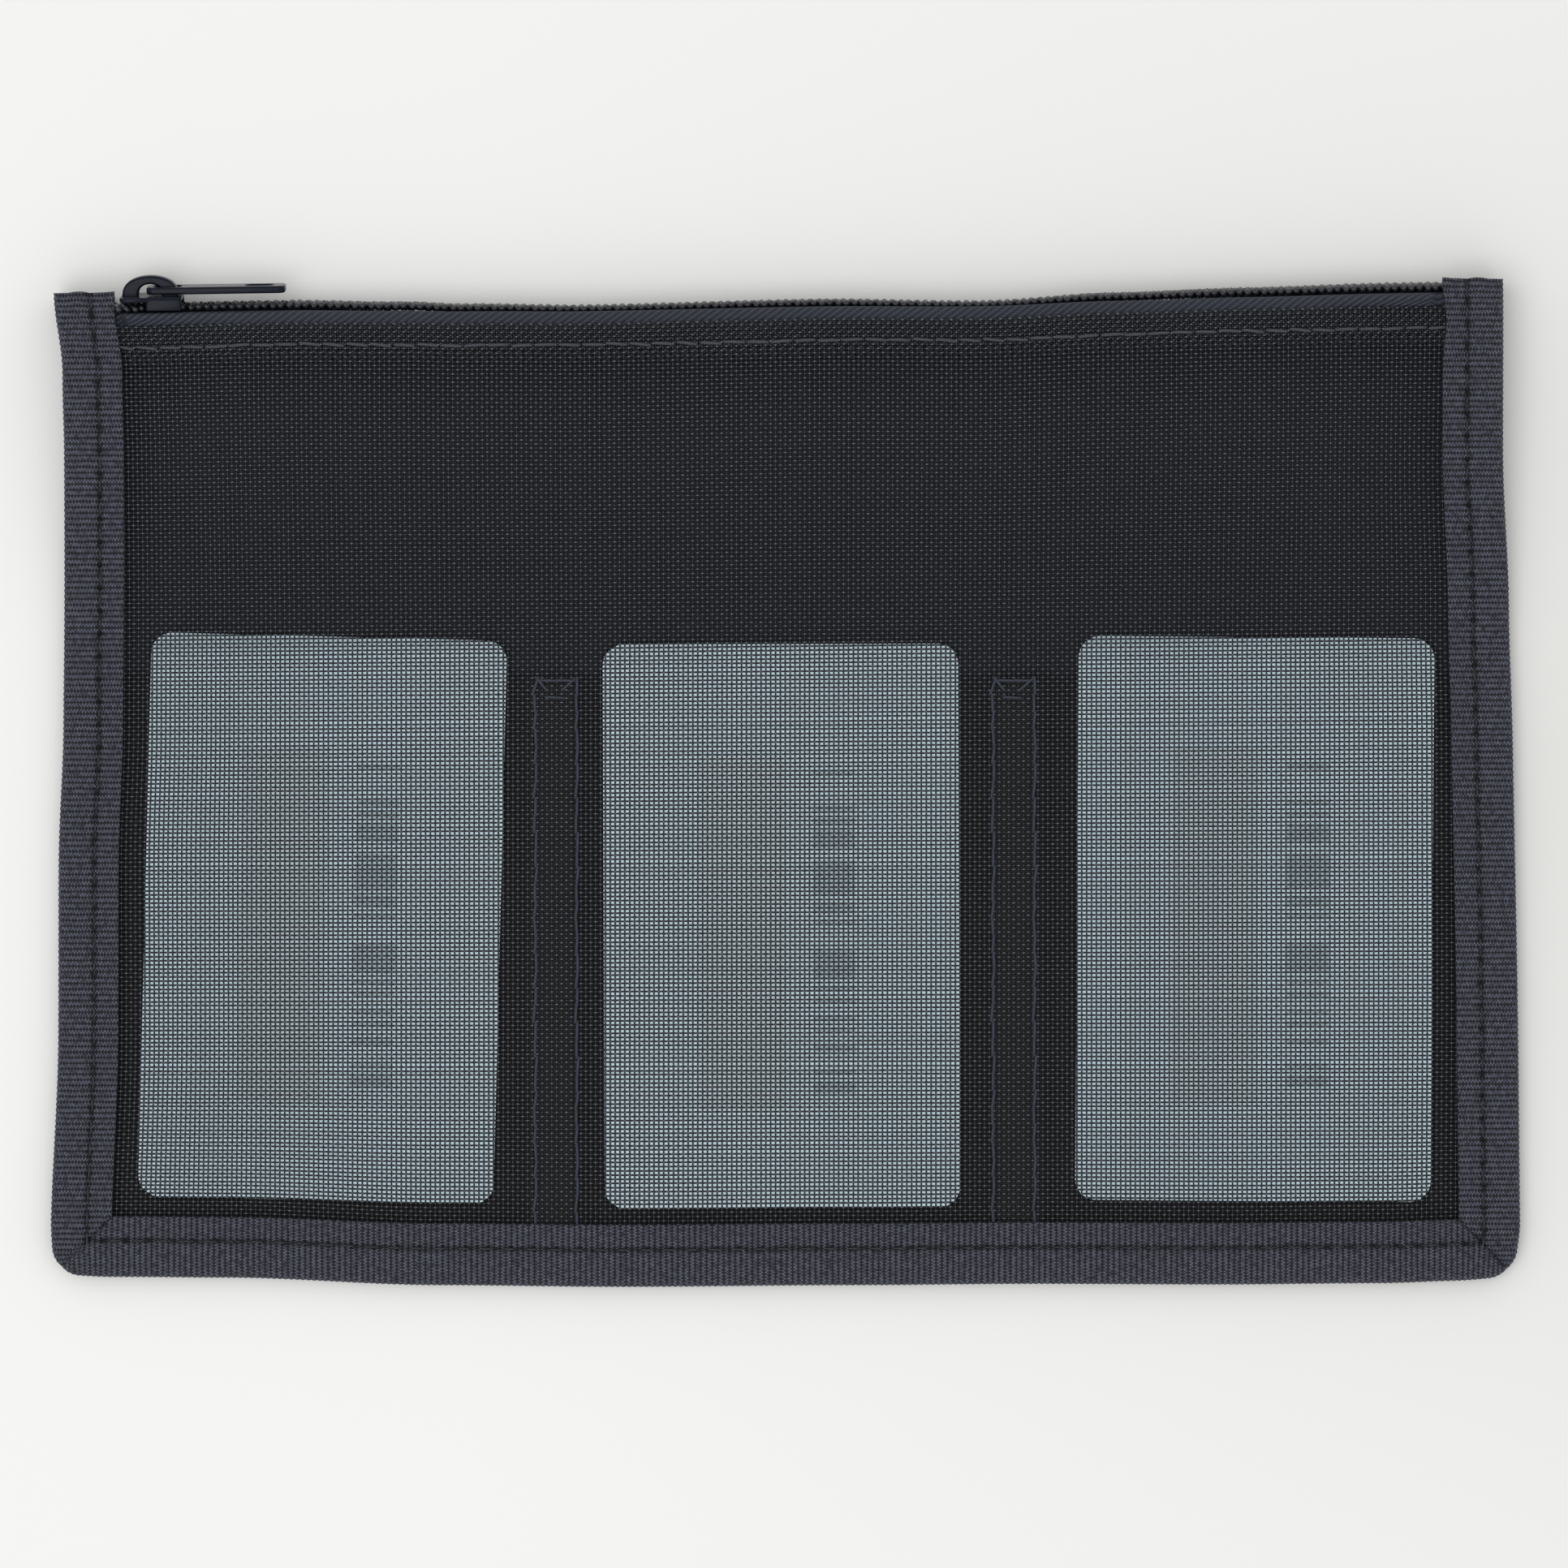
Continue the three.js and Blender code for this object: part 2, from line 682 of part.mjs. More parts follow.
function pullTab() {
  const shape = new THREE.Shape();
  roundedRectangle(
    shape,
    -pullBar / 2,
    -pullWidth / 2,
    pullLength + pullBar / 2,
    pullWidth,
    pullCorner,
  );
  shape.holes.push(roundedRectangle(
    new THREE.Path(),
    pullBar / 2,
    -pullEyeWidth / 2,
    pullEyeLength,
    pullEyeWidth,
    pullCorner / 2,
  ));
  shape.holes.push(roundedRectangle(
    new THREE.Path(),
    pullLength - pullSlotMargin - pullSlotLength,
    -pullSlotWidth / 2,
    pullSlotLength,
    pullSlotWidth,
    pullSlotWidth / 2 - layerGap,
  ));
  return raised(shape, -pullThickness / 2, pullThickness / 2, pullBevel);
}

function cardSolid() {
  const shape = roundedRectangle(
    new THREE.Shape(),
    -cardWidth / 2,
    -cardHeight / 2,
    cardWidth,
    cardHeight,
    cardCornerRadius,
  );
  return new THREE.ExtrudeGeometry(shape, {
    depth: cardThickness,
    curveSegments: 6,
    bevelEnabled: false,
  });
}

// Materials
const meshCloth = new THREE.MeshStandardMaterial({ color: 0x2a2c30, roughness: 0.75 });
const plainCloth = new THREE.MeshStandardMaterial({ color: 0x191a1e, roughness: 0.85 });
const grosgrain = new THREE.MeshStandardMaterial({ color: 0x3b3e46, roughness: 0.8 });
const zipCloth = new THREE.MeshStandardMaterial({ color: 0x2c2f38, roughness: 0.8 });
const nylonCoil = new THREE.MeshStandardMaterial({ color: 0x26282c, roughness: 0.45 });
const paintedMetal = new THREE.MeshStandardMaterial({
  color: 0x1d212b,
  roughness: 0.4,
  metalness: 0.3,
});
const cardPlastic = new THREE.MeshStandardMaterial({ color: 0xc4d2da, roughness: 0.5 });

function named(name, geometry, material) {
  const mesh = new THREE.Mesh(geometry, material);
  mesh.name = name;
  return mesh;
}

const pouch = new THREE.Group();
pouch.add(named('front_panel', frontPanel(), meshCloth));
pouch.add(named('pocket_panel', pocketPanel(), plainCloth));
pouch.add(named('back_panel', backPanel(), plainCloth));
pouch.add(named('edge_binding', edgeBinding(), grosgrain));
pouch.add(named('zip_tape_front', zipTape(1), zipCloth));
pouch.add(named('zip_tape_back', zipTape(-1), zipCloth));

// The zip's frame: along its sloping line, with its face leaning to the front
const zipLine = new THREE.Group();
zipLine.position.set(0, zipY, zipZ);
zipLine.rotation.z = zipSlope;
const zipFace = new THREE.Group();
zipFace.rotation.x = zipTilt;
zipFace.add(named('zip_teeth_front', zipTeeth(1), nylonCoil));
zipFace.add(named('zip_teeth_back', zipTeeth(-1), nylonCoil));
zipLine.add(zipFace);
pouch.add(zipLine);

const slider = new THREE.Group();
slider.position.x = sliderStartX;
slider.add(named('slider_body', sliderBody(), paintedMetal));
const pull = named('pull_tab', pullTab(), paintedMetal);
pull.position.set(bailShift, hingeY, 0);
slider.add(pull);
zipFace.add(slider);

cardPlaces.forEach(({ name, shift, lift, turn }, index) => {
  const card = named(name, cardSolid(), cardPlastic);
  const pocketMiddle = (index - 1) * (cardWidth + pocketEase + dividerWidth) + bottomShift;
  card.position.x = pocketMiddle + shift;
  card.position.y = pocketFloorY + cardLift + lift + cardHeight / 2;
  card.position.z = cardZ;
  card.rotation.z = turn;
  pouch.add(card);
});

export default pouch;
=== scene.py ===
"""Scene of a flat zipped pencil pouch: a mesh front, three cards in their pockets, bound edges,
and a coil zip with its slider. Lengths are in millimetres until a mesh is made in metres."""

import json
import math
from collections import namedtuple

import bmesh
import bpy
import numpy as np
from mathutils import Matrix, Vector

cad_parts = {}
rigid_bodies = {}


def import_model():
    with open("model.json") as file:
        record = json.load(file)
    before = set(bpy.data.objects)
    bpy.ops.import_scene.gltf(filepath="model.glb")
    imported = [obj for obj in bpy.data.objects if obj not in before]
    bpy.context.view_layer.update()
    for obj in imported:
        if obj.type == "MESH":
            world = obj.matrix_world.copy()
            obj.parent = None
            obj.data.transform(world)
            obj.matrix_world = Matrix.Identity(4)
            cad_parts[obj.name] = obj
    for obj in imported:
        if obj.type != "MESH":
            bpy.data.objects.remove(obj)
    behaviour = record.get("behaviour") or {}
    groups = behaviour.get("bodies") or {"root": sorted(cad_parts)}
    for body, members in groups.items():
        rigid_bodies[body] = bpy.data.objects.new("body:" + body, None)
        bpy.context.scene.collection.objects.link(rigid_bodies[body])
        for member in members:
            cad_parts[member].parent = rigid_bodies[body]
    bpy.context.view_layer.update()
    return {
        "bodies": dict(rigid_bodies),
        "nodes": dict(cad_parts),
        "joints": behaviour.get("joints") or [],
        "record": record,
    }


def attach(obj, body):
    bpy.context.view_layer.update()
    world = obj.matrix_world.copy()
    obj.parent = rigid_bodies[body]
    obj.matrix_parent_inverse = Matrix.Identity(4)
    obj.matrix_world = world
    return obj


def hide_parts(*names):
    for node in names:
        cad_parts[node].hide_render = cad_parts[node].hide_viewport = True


MM = 0.001
UP = np.array([0.0, 0.0, 1.0])
FACE_NAMES = {1: "front", -1: "back"}

# Form of the pouch, as its solids have it
CARD_WIDTH = 53.98
CARD_HEIGHT = 85.6
CARD_THICKNESS = 0.76
CARD_CLEARANCE = 0.2
CARD_LIFT = 1.85
FRONT_THICKNESS = 0.35
POCKET_THICKNESS = 0.3
BACK_THICKNESS = 0.4
BINDING_THICKNESS = 0.45
TAPE_THICKNESS = 0.4
LAYER_GAP = 0.1
POUCH_HEIGHT = 152.0
POCKET_EASE = 9.8
DIVIDER_WIDTH = 6.3
BINDING_WIDTH = 9.8
BINDING_BACK_WIDTH = 8.8
BOTTOM_SHIFT = 0.15
TOP_SHIFT = -0.65
TOP_NARROWING = 3.4
CORNER_RADIUS = 4.0
NOSE_RADIUS = 1.1
PANEL_INSET = 2.0
POCKET_DEPTH = 82.5
POCKET_HEM = 7.0
HEM_STEP = 0.4
POCKET_RAMP = 3.1
RISE_DELAY = 2.0
SIDE_RAMP = 22.0
SEAM_END_HEIGHT = 7.0
SEAM_END_RISE = 0.7
SEAM_RAMP = 1.7
ZIP_SLOPE = math.radians(0.86)
ZIP_TILT = math.radians(10)
ZIP_DROP = 2.9
TAPE_EDGE = 0.85
TAPE_FLAT = 3.0
TAPE_BEND = 0.7
TAPE_SHOWN = 2.4
TAPE_PINCH = 2.2
TAPE_PINCH_RUN = 1.0

# Where the visible cloth and tape end
BINDING_OVER = {-1: 3.0, 1: 2.05}
TAPE_HELD = 5.5
ZIP_HEM = 4.4

POCKET_Z = BACK_THICKNESS + LAYER_GAP + POCKET_THICKNESS
CARD_Z = POCKET_Z + POCKET_THICKNESS + CARD_CLEARANCE
FRONT_Z = CARD_Z + CARD_THICKNESS + CARD_CLEARANCE
FLAT_TOP_Z = FRONT_Z + FRONT_THICKNESS
SEAM_HEIGHT = FLAT_TOP_Z + LAYER_GAP + BINDING_THICKNESS
TAPE_REACH = (TAPE_FLAT + TAPE_BEND) * math.cos(ZIP_TILT)
TAPE_STACK = TAPE_THICKNESS / 2 + LAYER_GAP
ZIP_Z = 2 * BACK_THICKNESS + TAPE_STACK + TAPE_REACH
ZIP_TOP_Z = ZIP_Z + TAPE_REACH + TAPE_STACK + 2 * FRONT_THICKNESS
BOTTOM_WIDTH = 3 * (CARD_WIDTH + POCKET_EASE) + 2 * DIVIDER_WIDTH + 2 * BINDING_WIDTH
TOP_WIDTH = BOTTOM_WIDTH - TOP_NARROWING
BOTTOM_Y = -POUCH_HEIGHT / 2
ZIP_Y = POUCH_HEIGHT / 2 - ZIP_DROP
POCKET_FLOOR_Y = BOTTOM_Y + BINDING_WIDTH
POCKET_TOP_Y = POCKET_FLOOR_Y + POCKET_DEPTH
RISE_START_Y = POCKET_TOP_Y + RISE_DELAY
RISE_END_Y = ZIP_Y - TAPE_SHOWN - TAPE_HELD - 2 * RISE_DELAY

# Unevenness of the sewn pouch: how far an edge or the zip stands off its straight line, at
# places along it
DRAW_REACH = 40.0
LEFT_DRAW = ((-72, 0.3), (-38, 1.3), (-12, 1.2), (9, 1.8), (50, 2.0), (62, 1.75), (75, 0.35))
RIGHT_DRAW = ((-70, -0.1), (-30, 0.1), (5, 0.0), (27, -0.3), (50, -1.1), (77, -0.75))
BOTTOM_DRAW = ((-100, 1.25), (-85, 1.15), (-52, 0.0), (-25, -0.25), (10, 0.0), (38, 0.2),
               (66, 0.1), (90, 0.3), (104, 0.7))
ZIP_SAG = ((-100, -0.3), (-75, -0.25), (-58, -0.7), (-48, -1.2), (-30, -1.7), (5, -1.3),
           (30, -2.0), (50, -0.95), (70, -0.5), (92, -0.15))
ZIP_END_SAG = -0.15
ZIP_ROLL = 0.15
FOLD_SAG_SHARE = 0.5
CORNER_ROUNDING = {-1: 0.6, 1: 1.0}
CORNER_LIFT_SHARE = 0.6
CORNER_REACH = 10.0
ZIP_SAG_LEAD = 1.0

# Weave of the mesh. The hem's yarns step aside and down over the first rows under the fold.
WARP_PITCH = 0.738
WEFT_PITCH = 0.628
WARP_YARN = 0.24
WEFT_YARN = 0.265
YARN_HEIGHT = 0.17
YARN_LIFT = 0.1
WARP_JITTER = 0.006
WEFT_JITTER = 0.018
MESH_SEED = 5
MESH_STRIPS = 6
MESH_OVERRUN = 1.2
MESH_LEFT_EXTRA = 1.0
MESH_SINK = 0.12
HEM_SHIFT = 0.37
HEM_SHIFT_ROWS = 3.0
HEM_DROP_ROWS = 2.0
FOLD_ROWS = 0.4

# Steps of the cloth's grids
BACK_STEP = 2.0
POCKET_STEP = 1.6
TAPE_STEP = 0.8

# Binding: depths of its points from the outer edge, and its unevenness. A swell has a height,
# the depth where it starts and its run.
FRONT_DEPTHS = (9.3, 9.05, 8.2, 7.4, 6.7, 6.0, 5.75, 5.5, 5.25, 5.0, 4.2, 3.2, 2.2)
BACK_DEPTHS = (2.2, 4.2, 6.2, 8.3, 8.8)
NOSE_POINTS = 9
JOIN_DISTANCE = 0.02
VANISHED_EDGE = 1e-6
OUTER_SWELL = (0.22, NOSE_RADIUS, 5.0)
INNER_SWELL = (0.12, 7.0, 2.8)
RIB_PITCH = 0.87
RIB_HEIGHT = 0.19
BACK_RIB_SHARE = 0.5
RIB_FADE = 0.5
GRAIN_PITCH = 0.5
TOP_BULGE = {-1: 0.3, 1: -0.6}
TOP_BULGE_Y = 70.0
TOP_BULGE_LENGTH = 4.0
TOP_BULGE_START = 5.0
TOP_BULGE_RUN = 4.0
END_WAVE = 0.15
END_WAVE_RATE = 1.2
END_WAVE_REACH = 1.5
MITRE_CREASE = 0.35
MITRE_CREASE_WIDTH = 0.7
MITRE_BACK_SHARE = 0.3

# Seams. A wave has a height and a rate.
STITCH_DEPTH = 5.5
STITCH_PITCH = 3.45
STITCH_RISE = 0.9
SEAM_ACROSS = 3.85
SEAM_GROOVE = 0.12
SEAM_WIDTH = 0.4
HOLE_DEPTH = 0.4
HOLE_LENGTH = 0.35
DIVIDER_SHIFT = 0.3
DIVIDER_WAVES = ((0.1, 1.3), (0.08, 0.4))
DIVIDER_LIFT = 0.08
TACK_DEPTH = 3.2
TACK_LIFT = 0.02
TACK_LEFT = (0.9, 0.5)
TACK_RIGHT = (1.3, 0.6)
TACK_SHIFT = 0.3
POCKET_SEAM_DEPTH = 0.6
HEM_SEAM_DEPTH = 3.15
HEM_SEAM_LIFT = 0.1
HEM_SEAM_OVERRUN = 0.2
HEM_WAVES = ((0.08, 1.9), (0.05, 0.67))
BOTTOM_SEAM_POINTS = 220
SIDE_SEAM_POINTS = 150
HEM_SEAM_POINTS = 240
Seam = namedtuple("Seam", "thread color pitch length width slant")
SEAMS = {
    "binding_stitches": Seam("seam_thread", (0.020, 0.023, 0.031), STITCH_PITCH, 2.7, 0.32, 0.0),
    "divider_stitches": Seam("divider_thread", (0.022, 0.028, 0.046), 2.6, 2.7, 0.46, 0.05),
    "hem_stitches": Seam("hem_thread", (0.040, 0.045, 0.056), 3.55, 3.05, 0.48, 0.06),
}

# Coil teeth
TOOTH_PITCH = 1.24
COIL_REACH = 2.15
COIL_PAST = 0.5
COIL_HEIGHT = 1.2
COIL_LIFT = 0.1
COIL_PART = 1.2
COIL_WIRE = 0.38
COIL_SWELL = 0.22
COIL_FULLNESS = 1.12
COIL_STEPS = 16.0
COIL_OVERRUN = 2.5
CORD_THICKNESS = 0.7

# Slider and pull. An outline has a length, a width and a corner radius.
SLIDER_LENGTH = 9.4
SLIDER_WIDTH = 7.6
SLIDER_TAIL_WIDTH = 6.6
SLIDER_CLEARANCE = 0.3
SLIDER_PLATE = 0.75
SLIDER_CORNER = 1.6
SLIDER_END_GAP = 0.5
SLIDER_OVERLAP = 0.4
PARTING_START = 0.9
PARTING_LENGTH = 2.3
WALL_START_X = -0.7
WALL = (5.4, 0.9, 0.4)
POST = ((-4.5, -0.28), (-3.5, -0.55), (-2.45, -0.14), (-2.45, 0.14), (-3.5, 0.55), (-4.5, 0.28))
BASE = (SLIDER_LENGTH, 4.8, 1.5)
BAIL_REACH = 4.25
BAIL_HEIGHT = 3.05
BAIL_WIDTH = 2.2
BAIL_SUNK = 0.35
BAIL_SHIFT = -0.15
BAIL_POINTS = 19
WINDOW_REACH = 1.75
WINDOW_HEIGHT = 1.75
BAIL_POWER = 0.8
WINDOW_POWER = 0.7
PULL_LENGTH = 20.5
PULL_WIDTH = 4.6
PULL_THICKNESS = 1.1
PULL_CORNER = 1.1
PULL_BAR = 1.05
EYE = (4.1, 2.7, 0.6)
SLOT = (4.2, 2.2, 1.0)
SLOT_MARGIN = 1.9
HINGE_CLEARANCE = 0.25
METAL_CORNER = math.radians(40)
BEVELS = {"plate": 0.22, "wall": 0.15, "post": 0.05, "base": 0.2, "bail": 0.35,
          "pull_metal": 0.3}

# Cards: the pocket of each, how far off its middle, how high and how far turned it lies. On
# each card a panel and a strip of bars are printed, with a middle and a size.
CARD_PLACES = {
    "card_left": (-1, -0.15, 1.15, math.radians(-1.4)),
    "card_middle": (0, -0.55, 0.0, math.radians(0.2)),
    "card_right": (1, 1.25, 1.05, math.radians(-0.4)),
}
CARD_PANEL = ((-6.0, -1.0), (13.0, 54.0))
CARD_STRIP = ((8.0, 0.0), (6.5, 52.0))
BARS_PER_MM = 1.1
BAR_GAPS = 0.45
PANEL_INK = (0.655, 0.79, 0.855)
BAR_INK = (0.50, 0.63, 0.70)

# Ground, in millimetres, and light and camera, in metres
FLOOR_REACH = 1500.0
FLOOR_Z = -0.1
SKY_STRENGTH = 0.87
LAMP_AT = (-0.55, -0.25, 1.6)
LAMP_SIZE = 1.3
LAMP_POWER = 8.0
SENSOR_WIDTH = 36.0
CAMERA_HEIGHT = 1.2
VIEW_WIDTH = 0.2385


# Form


def smooth(value):
    share = np.clip(value, 0.0, 1.0)
    return share * share * (3.0 - 2.0 * share)


def lerp(start, end, share):
    return start + (end - start) * share


def fades(distance, reach):
    """1 at an edge, falling smoothly to 0 at the end of the reach."""
    return 1.0 - smooth(distance / reach)


def eased(value, stations):
    """Goes smoothly from station to station, each a place and the value there."""
    places, values = (np.array(column, float) for column in zip(*stations))
    index = np.clip(np.searchsorted(places, value) - 1, 0, len(places) - 2)
    share = (value - places[index]) / (places[index + 1] - places[index])
    return lerp(values[index], values[index + 1], smooth(share))


def zip_line_y(x):
    return ZIP_Y + x * math.tan(ZIP_SLOPE)


def fold_y(x):
    return zip_line_y(x) - TAPE_SHOWN


def side_x(side, y):
    share = (y - BOTTOM_Y) / POUCH_HEIGHT
    middle = lerp(BOTTOM_SHIFT, TOP_SHIFT, share)
    return middle + side * lerp(BOTTOM_WIDTH, TOP_WIDTH, share) / 2


def binding_end_y(side):
    inner_x = side_x(side, ZIP_Y) - side * BINDING_WIDTH
    return zip_line_y(inner_x) + BINDING_OVER[side]


def depth_from_side(x, y):
    return np.minimum(x - side_x(-1, y), side_x(1, y) - x)


def depth_from_edge(x, y):
    return np.minimum(depth_from_side(x, y), y - BOTTOM_Y)


def rise(y):
    """0 at the pockets, where the pouch is flat, and 1 at the zip, where it is thick."""
    return smooth((y - RISE_START_Y) / (RISE_END_Y - RISE_START_Y))


def fullness(x, y):
    """0 at the side seams and 1 where the pouch has its full thickness."""
    return smooth((depth_from_side(x, y) - BINDING_WIDTH) / SIDE_RAMP)


def seam_bottom_z(y):
    return SEAM_END_RISE * rise(y)


def seam_top_z(y):
    return seam_bottom_z(y) + lerp(SEAM_HEIGHT, SEAM_END_HEIGHT, rise(y))


def front_outer_z(x, y):
    at_seam = seam_top_z(y) - BINDING_THICKNESS - LAYER_GAP
    in_middle = lerp(FLAT_TOP_Z, ZIP_TOP_Z, rise(y))
    return lerp(at_seam, in_middle, fullness(x, y))


def seam_climb(x, y):
    """1 over the binding's back flap, where the cloth is lifted, and 0 inside it."""
    return fades(depth_from_edge(x, y) - BINDING_BACK_WIDTH - LAYER_GAP, SEAM_RAMP)


def back_outer_z(x, y):
    climb = (BINDING_THICKNESS + LAYER_GAP) * seam_climb(x, y)
    return climb + seam_bottom_z(y) * (1.0 - fullness(x, y))


def divider_x(side):
    return side * (CARD_WIDTH + POCKET_EASE + DIVIDER_WIDTH) / 2 + BOTTOM_SHIFT


def divider_pinch(x):
    nearest = np.minimum(np.abs(x - divider_x(-1)), np.abs(x - divider_x(1)))
    return fades(nearest - DIVIDER_WIDTH / 2, POCKET_RAMP)


def pocket_under_z(x, y):
    floor = POCKET_Z + (BINDING_THICKNESS + LAYER_GAP) * seam_climb(x, y)
    sewn = FRONT_Z - LAYER_GAP - POCKET_THICKNESS
    return lerp(floor, sewn, divider_pinch(x))


def settle(points):
    """Moves points of the straight form to the uneven outline and the sagging zip."""
    points = np.array(points, float)
    x, y, z = points[..., 0], points[..., 1], points[..., 2]
    near_left = fades(x - side_x(-1, y), DRAW_REACH)
    near_right = fades(side_x(1, y) - x, DRAW_REACH)
    near_foot = fades(y - BOTTOM_Y, DRAW_REACH)
    near_fold = smooth((y - POCKET_TOP_Y) / (fold_y(x) - POCKET_TOP_Y))
    near_zip = smooth((y - fold_y(x) + ZIP_SAG_LEAD) / TAPE_SHOWN)
    share = FOLD_SAG_SHARE * near_fold + (1.0 - FOLD_SAG_SHARE) * near_zip
    sag = eased(x, ZIP_SAG) * share * (1.0 + ZIP_ROLL * (ZIP_Z - z) * near_zip)
    points[..., 0] += eased(y, LEFT_DRAW) * near_left + eased(y, RIGHT_DRAW) * near_right
    points[..., 1] += eased(x, BOTTOM_DRAW) * near_foot + sag
    low = fades(y - BOTTOM_Y, CORNER_REACH)
    for side in (-1, 1):
        near_side = fades(side * (side_x(side, y) - x), CORNER_REACH)
        rounding = CORNER_ROUNDING[side] * low * near_side
        points[..., 0] -= side * rounding
        points[..., 1] += CORNER_LIFT_SHARE * rounding
    return points


# The zip's own frame: X along its line, Y out of its face, Z towards the front
ZIP_FRAME = (Matrix.Translation((0.0, ZIP_Y, ZIP_Z))
             @ Matrix.Rotation(ZIP_SLOPE, 4, "Z")
             @ Matrix.Rotation(ZIP_TILT, 4, "X"))
COIL_MIDDLE_Y = TAPE_THICKNESS / 2 + COIL_LIFT + COIL_HEIGHT / 2
PLATE_LOW_Y = TAPE_THICKNESS / 2 + COIL_LIFT + COIL_HEIGHT + SLIDER_CLEARANCE
PLATE_TOP_Y = PLATE_LOW_Y + SLIDER_PLATE
BASE_TOP_Y = -TAPE_THICKNESS / 2 - SLIDER_CLEARANCE
COIL_START_X = side_x(-1, ZIP_Y) + BINDING_WIDTH + SLIDER_END_GAP
COIL_END_X = side_x(1, ZIP_Y) - BINDING_WIDTH - SLIDER_END_GAP
SLIDER_X = COIL_START_X + SLIDER_LENGTH / 2
SLIDER_FRAME = (Matrix.Translation((0.0, ZIP_END_SAG, 0.0)) @ ZIP_FRAME
                @ Matrix.Translation((SLIDER_X, 0.0, 0.0)))


def from_zip(points):
    turned = np.asarray(points, float) @ np.array(ZIP_FRAME.to_3x3()).T
    return turned + np.array(ZIP_FRAME.translation)


# Objects and meshes


def clear_scene():
    for thing in list(bpy.data.objects):
        bpy.data.objects.remove(thing)


def new_object(name, data):
    made = bpy.data.objects.new(name, data)
    bpy.context.scene.collection.objects.link(made)
    return made


def mesh_of(name, points, faces, edges=()):
    """Mesh in metres from points in millimetres and lists of corners."""
    mesh = bpy.data.meshes.new(name)
    mesh.from_pydata((np.asarray(points, float) * MM).tolist(), list(edges), list(faces))
    mesh.update()
    return mesh


def line_mesh(name, paths):
    """Mesh of loose edges along settled paths."""
    points, edges = [], []
    for path in paths:
        first = len(points)
        points.extend(settle(path))
        edges.extend((i, i + 1) for i in range(first, len(points) - 1))
    return mesh_of(name, points, [], edges)


def shade_smooth(mesh):
    mesh.polygons.foreach_set("use_smooth", np.ones(len(mesh.polygons), bool))


def store(mesh, name, domain, values):
    kind, key = ("FLOAT_VECTOR", "vector") if np.ndim(values) == 2 else ("FLOAT", "value")
    attribute = mesh.attributes.new(name, kind, domain)
    attribute.data.foreach_set(key, np.asarray(values, np.float32).ravel())


def paint_map(mesh, name, places):
    """Writes a map from a place for each point. Layers repeat the same places."""
    corners = np.empty(len(mesh.loops), int)
    mesh.loops.foreach_get("vertex_index", corners)
    layer = mesh.uv_layers.new(name=name)
    layer.data.foreach_set("uv", places[corners % len(places)].astype(np.float32).ravel())


def plain_mesh(carrier):
    """Mesh of an object with its modifiers applied. The object itself goes."""
    evaluated = carrier.evaluated_get(bpy.context.evaluated_depsgraph_get())
    mesh = bpy.data.meshes.new_from_object(evaluated)
    bpy.data.objects.remove(carrier)
    return mesh


def dress(piece, material, slot, *nodes, body="pouch"):
    """Gives a piece its material, and says its body and the nodes it stands for. The slot is not
    used.
    """
    if material.name not in piece.data.materials:
        piece.data.materials.clear()
        piece.data.materials.append(material)
    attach(piece, body)
    if nodes:
        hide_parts(*nodes)


def cut(width, height):
    """Takes the flat size of a sheet whose edges are held by the binding, and does nothing with
    it.
    """
    height * MM


# Node trees


class Value:
    """An output of a node. Sums and products of values add the nodes that work them out."""

    def __init__(self, graph, socket):
        self.graph = graph
        self.socket = socket

    def __add__(self, other):
        return self.graph.math("ADD", self, other)

    def __sub__(self, other):
        return self.graph.math("SUBTRACT", self, other)

    def __rsub__(self, other):
        return self.graph.math("SUBTRACT", other, self)

    def __mul__(self, other):
        return self.graph.math("MULTIPLY", self, other)

    def __truediv__(self, other):
        return self.graph.math("DIVIDE", self, other)

    def __pow__(self, other):
        return self.graph.math("POWER", self, other)

    def __abs__(self):
        return self.graph.math("ABSOLUTE", self)

    def sine(self):
        return self.graph.math("SINE", self)

    def cosine(self):
        return self.graph.math("COSINE", self)


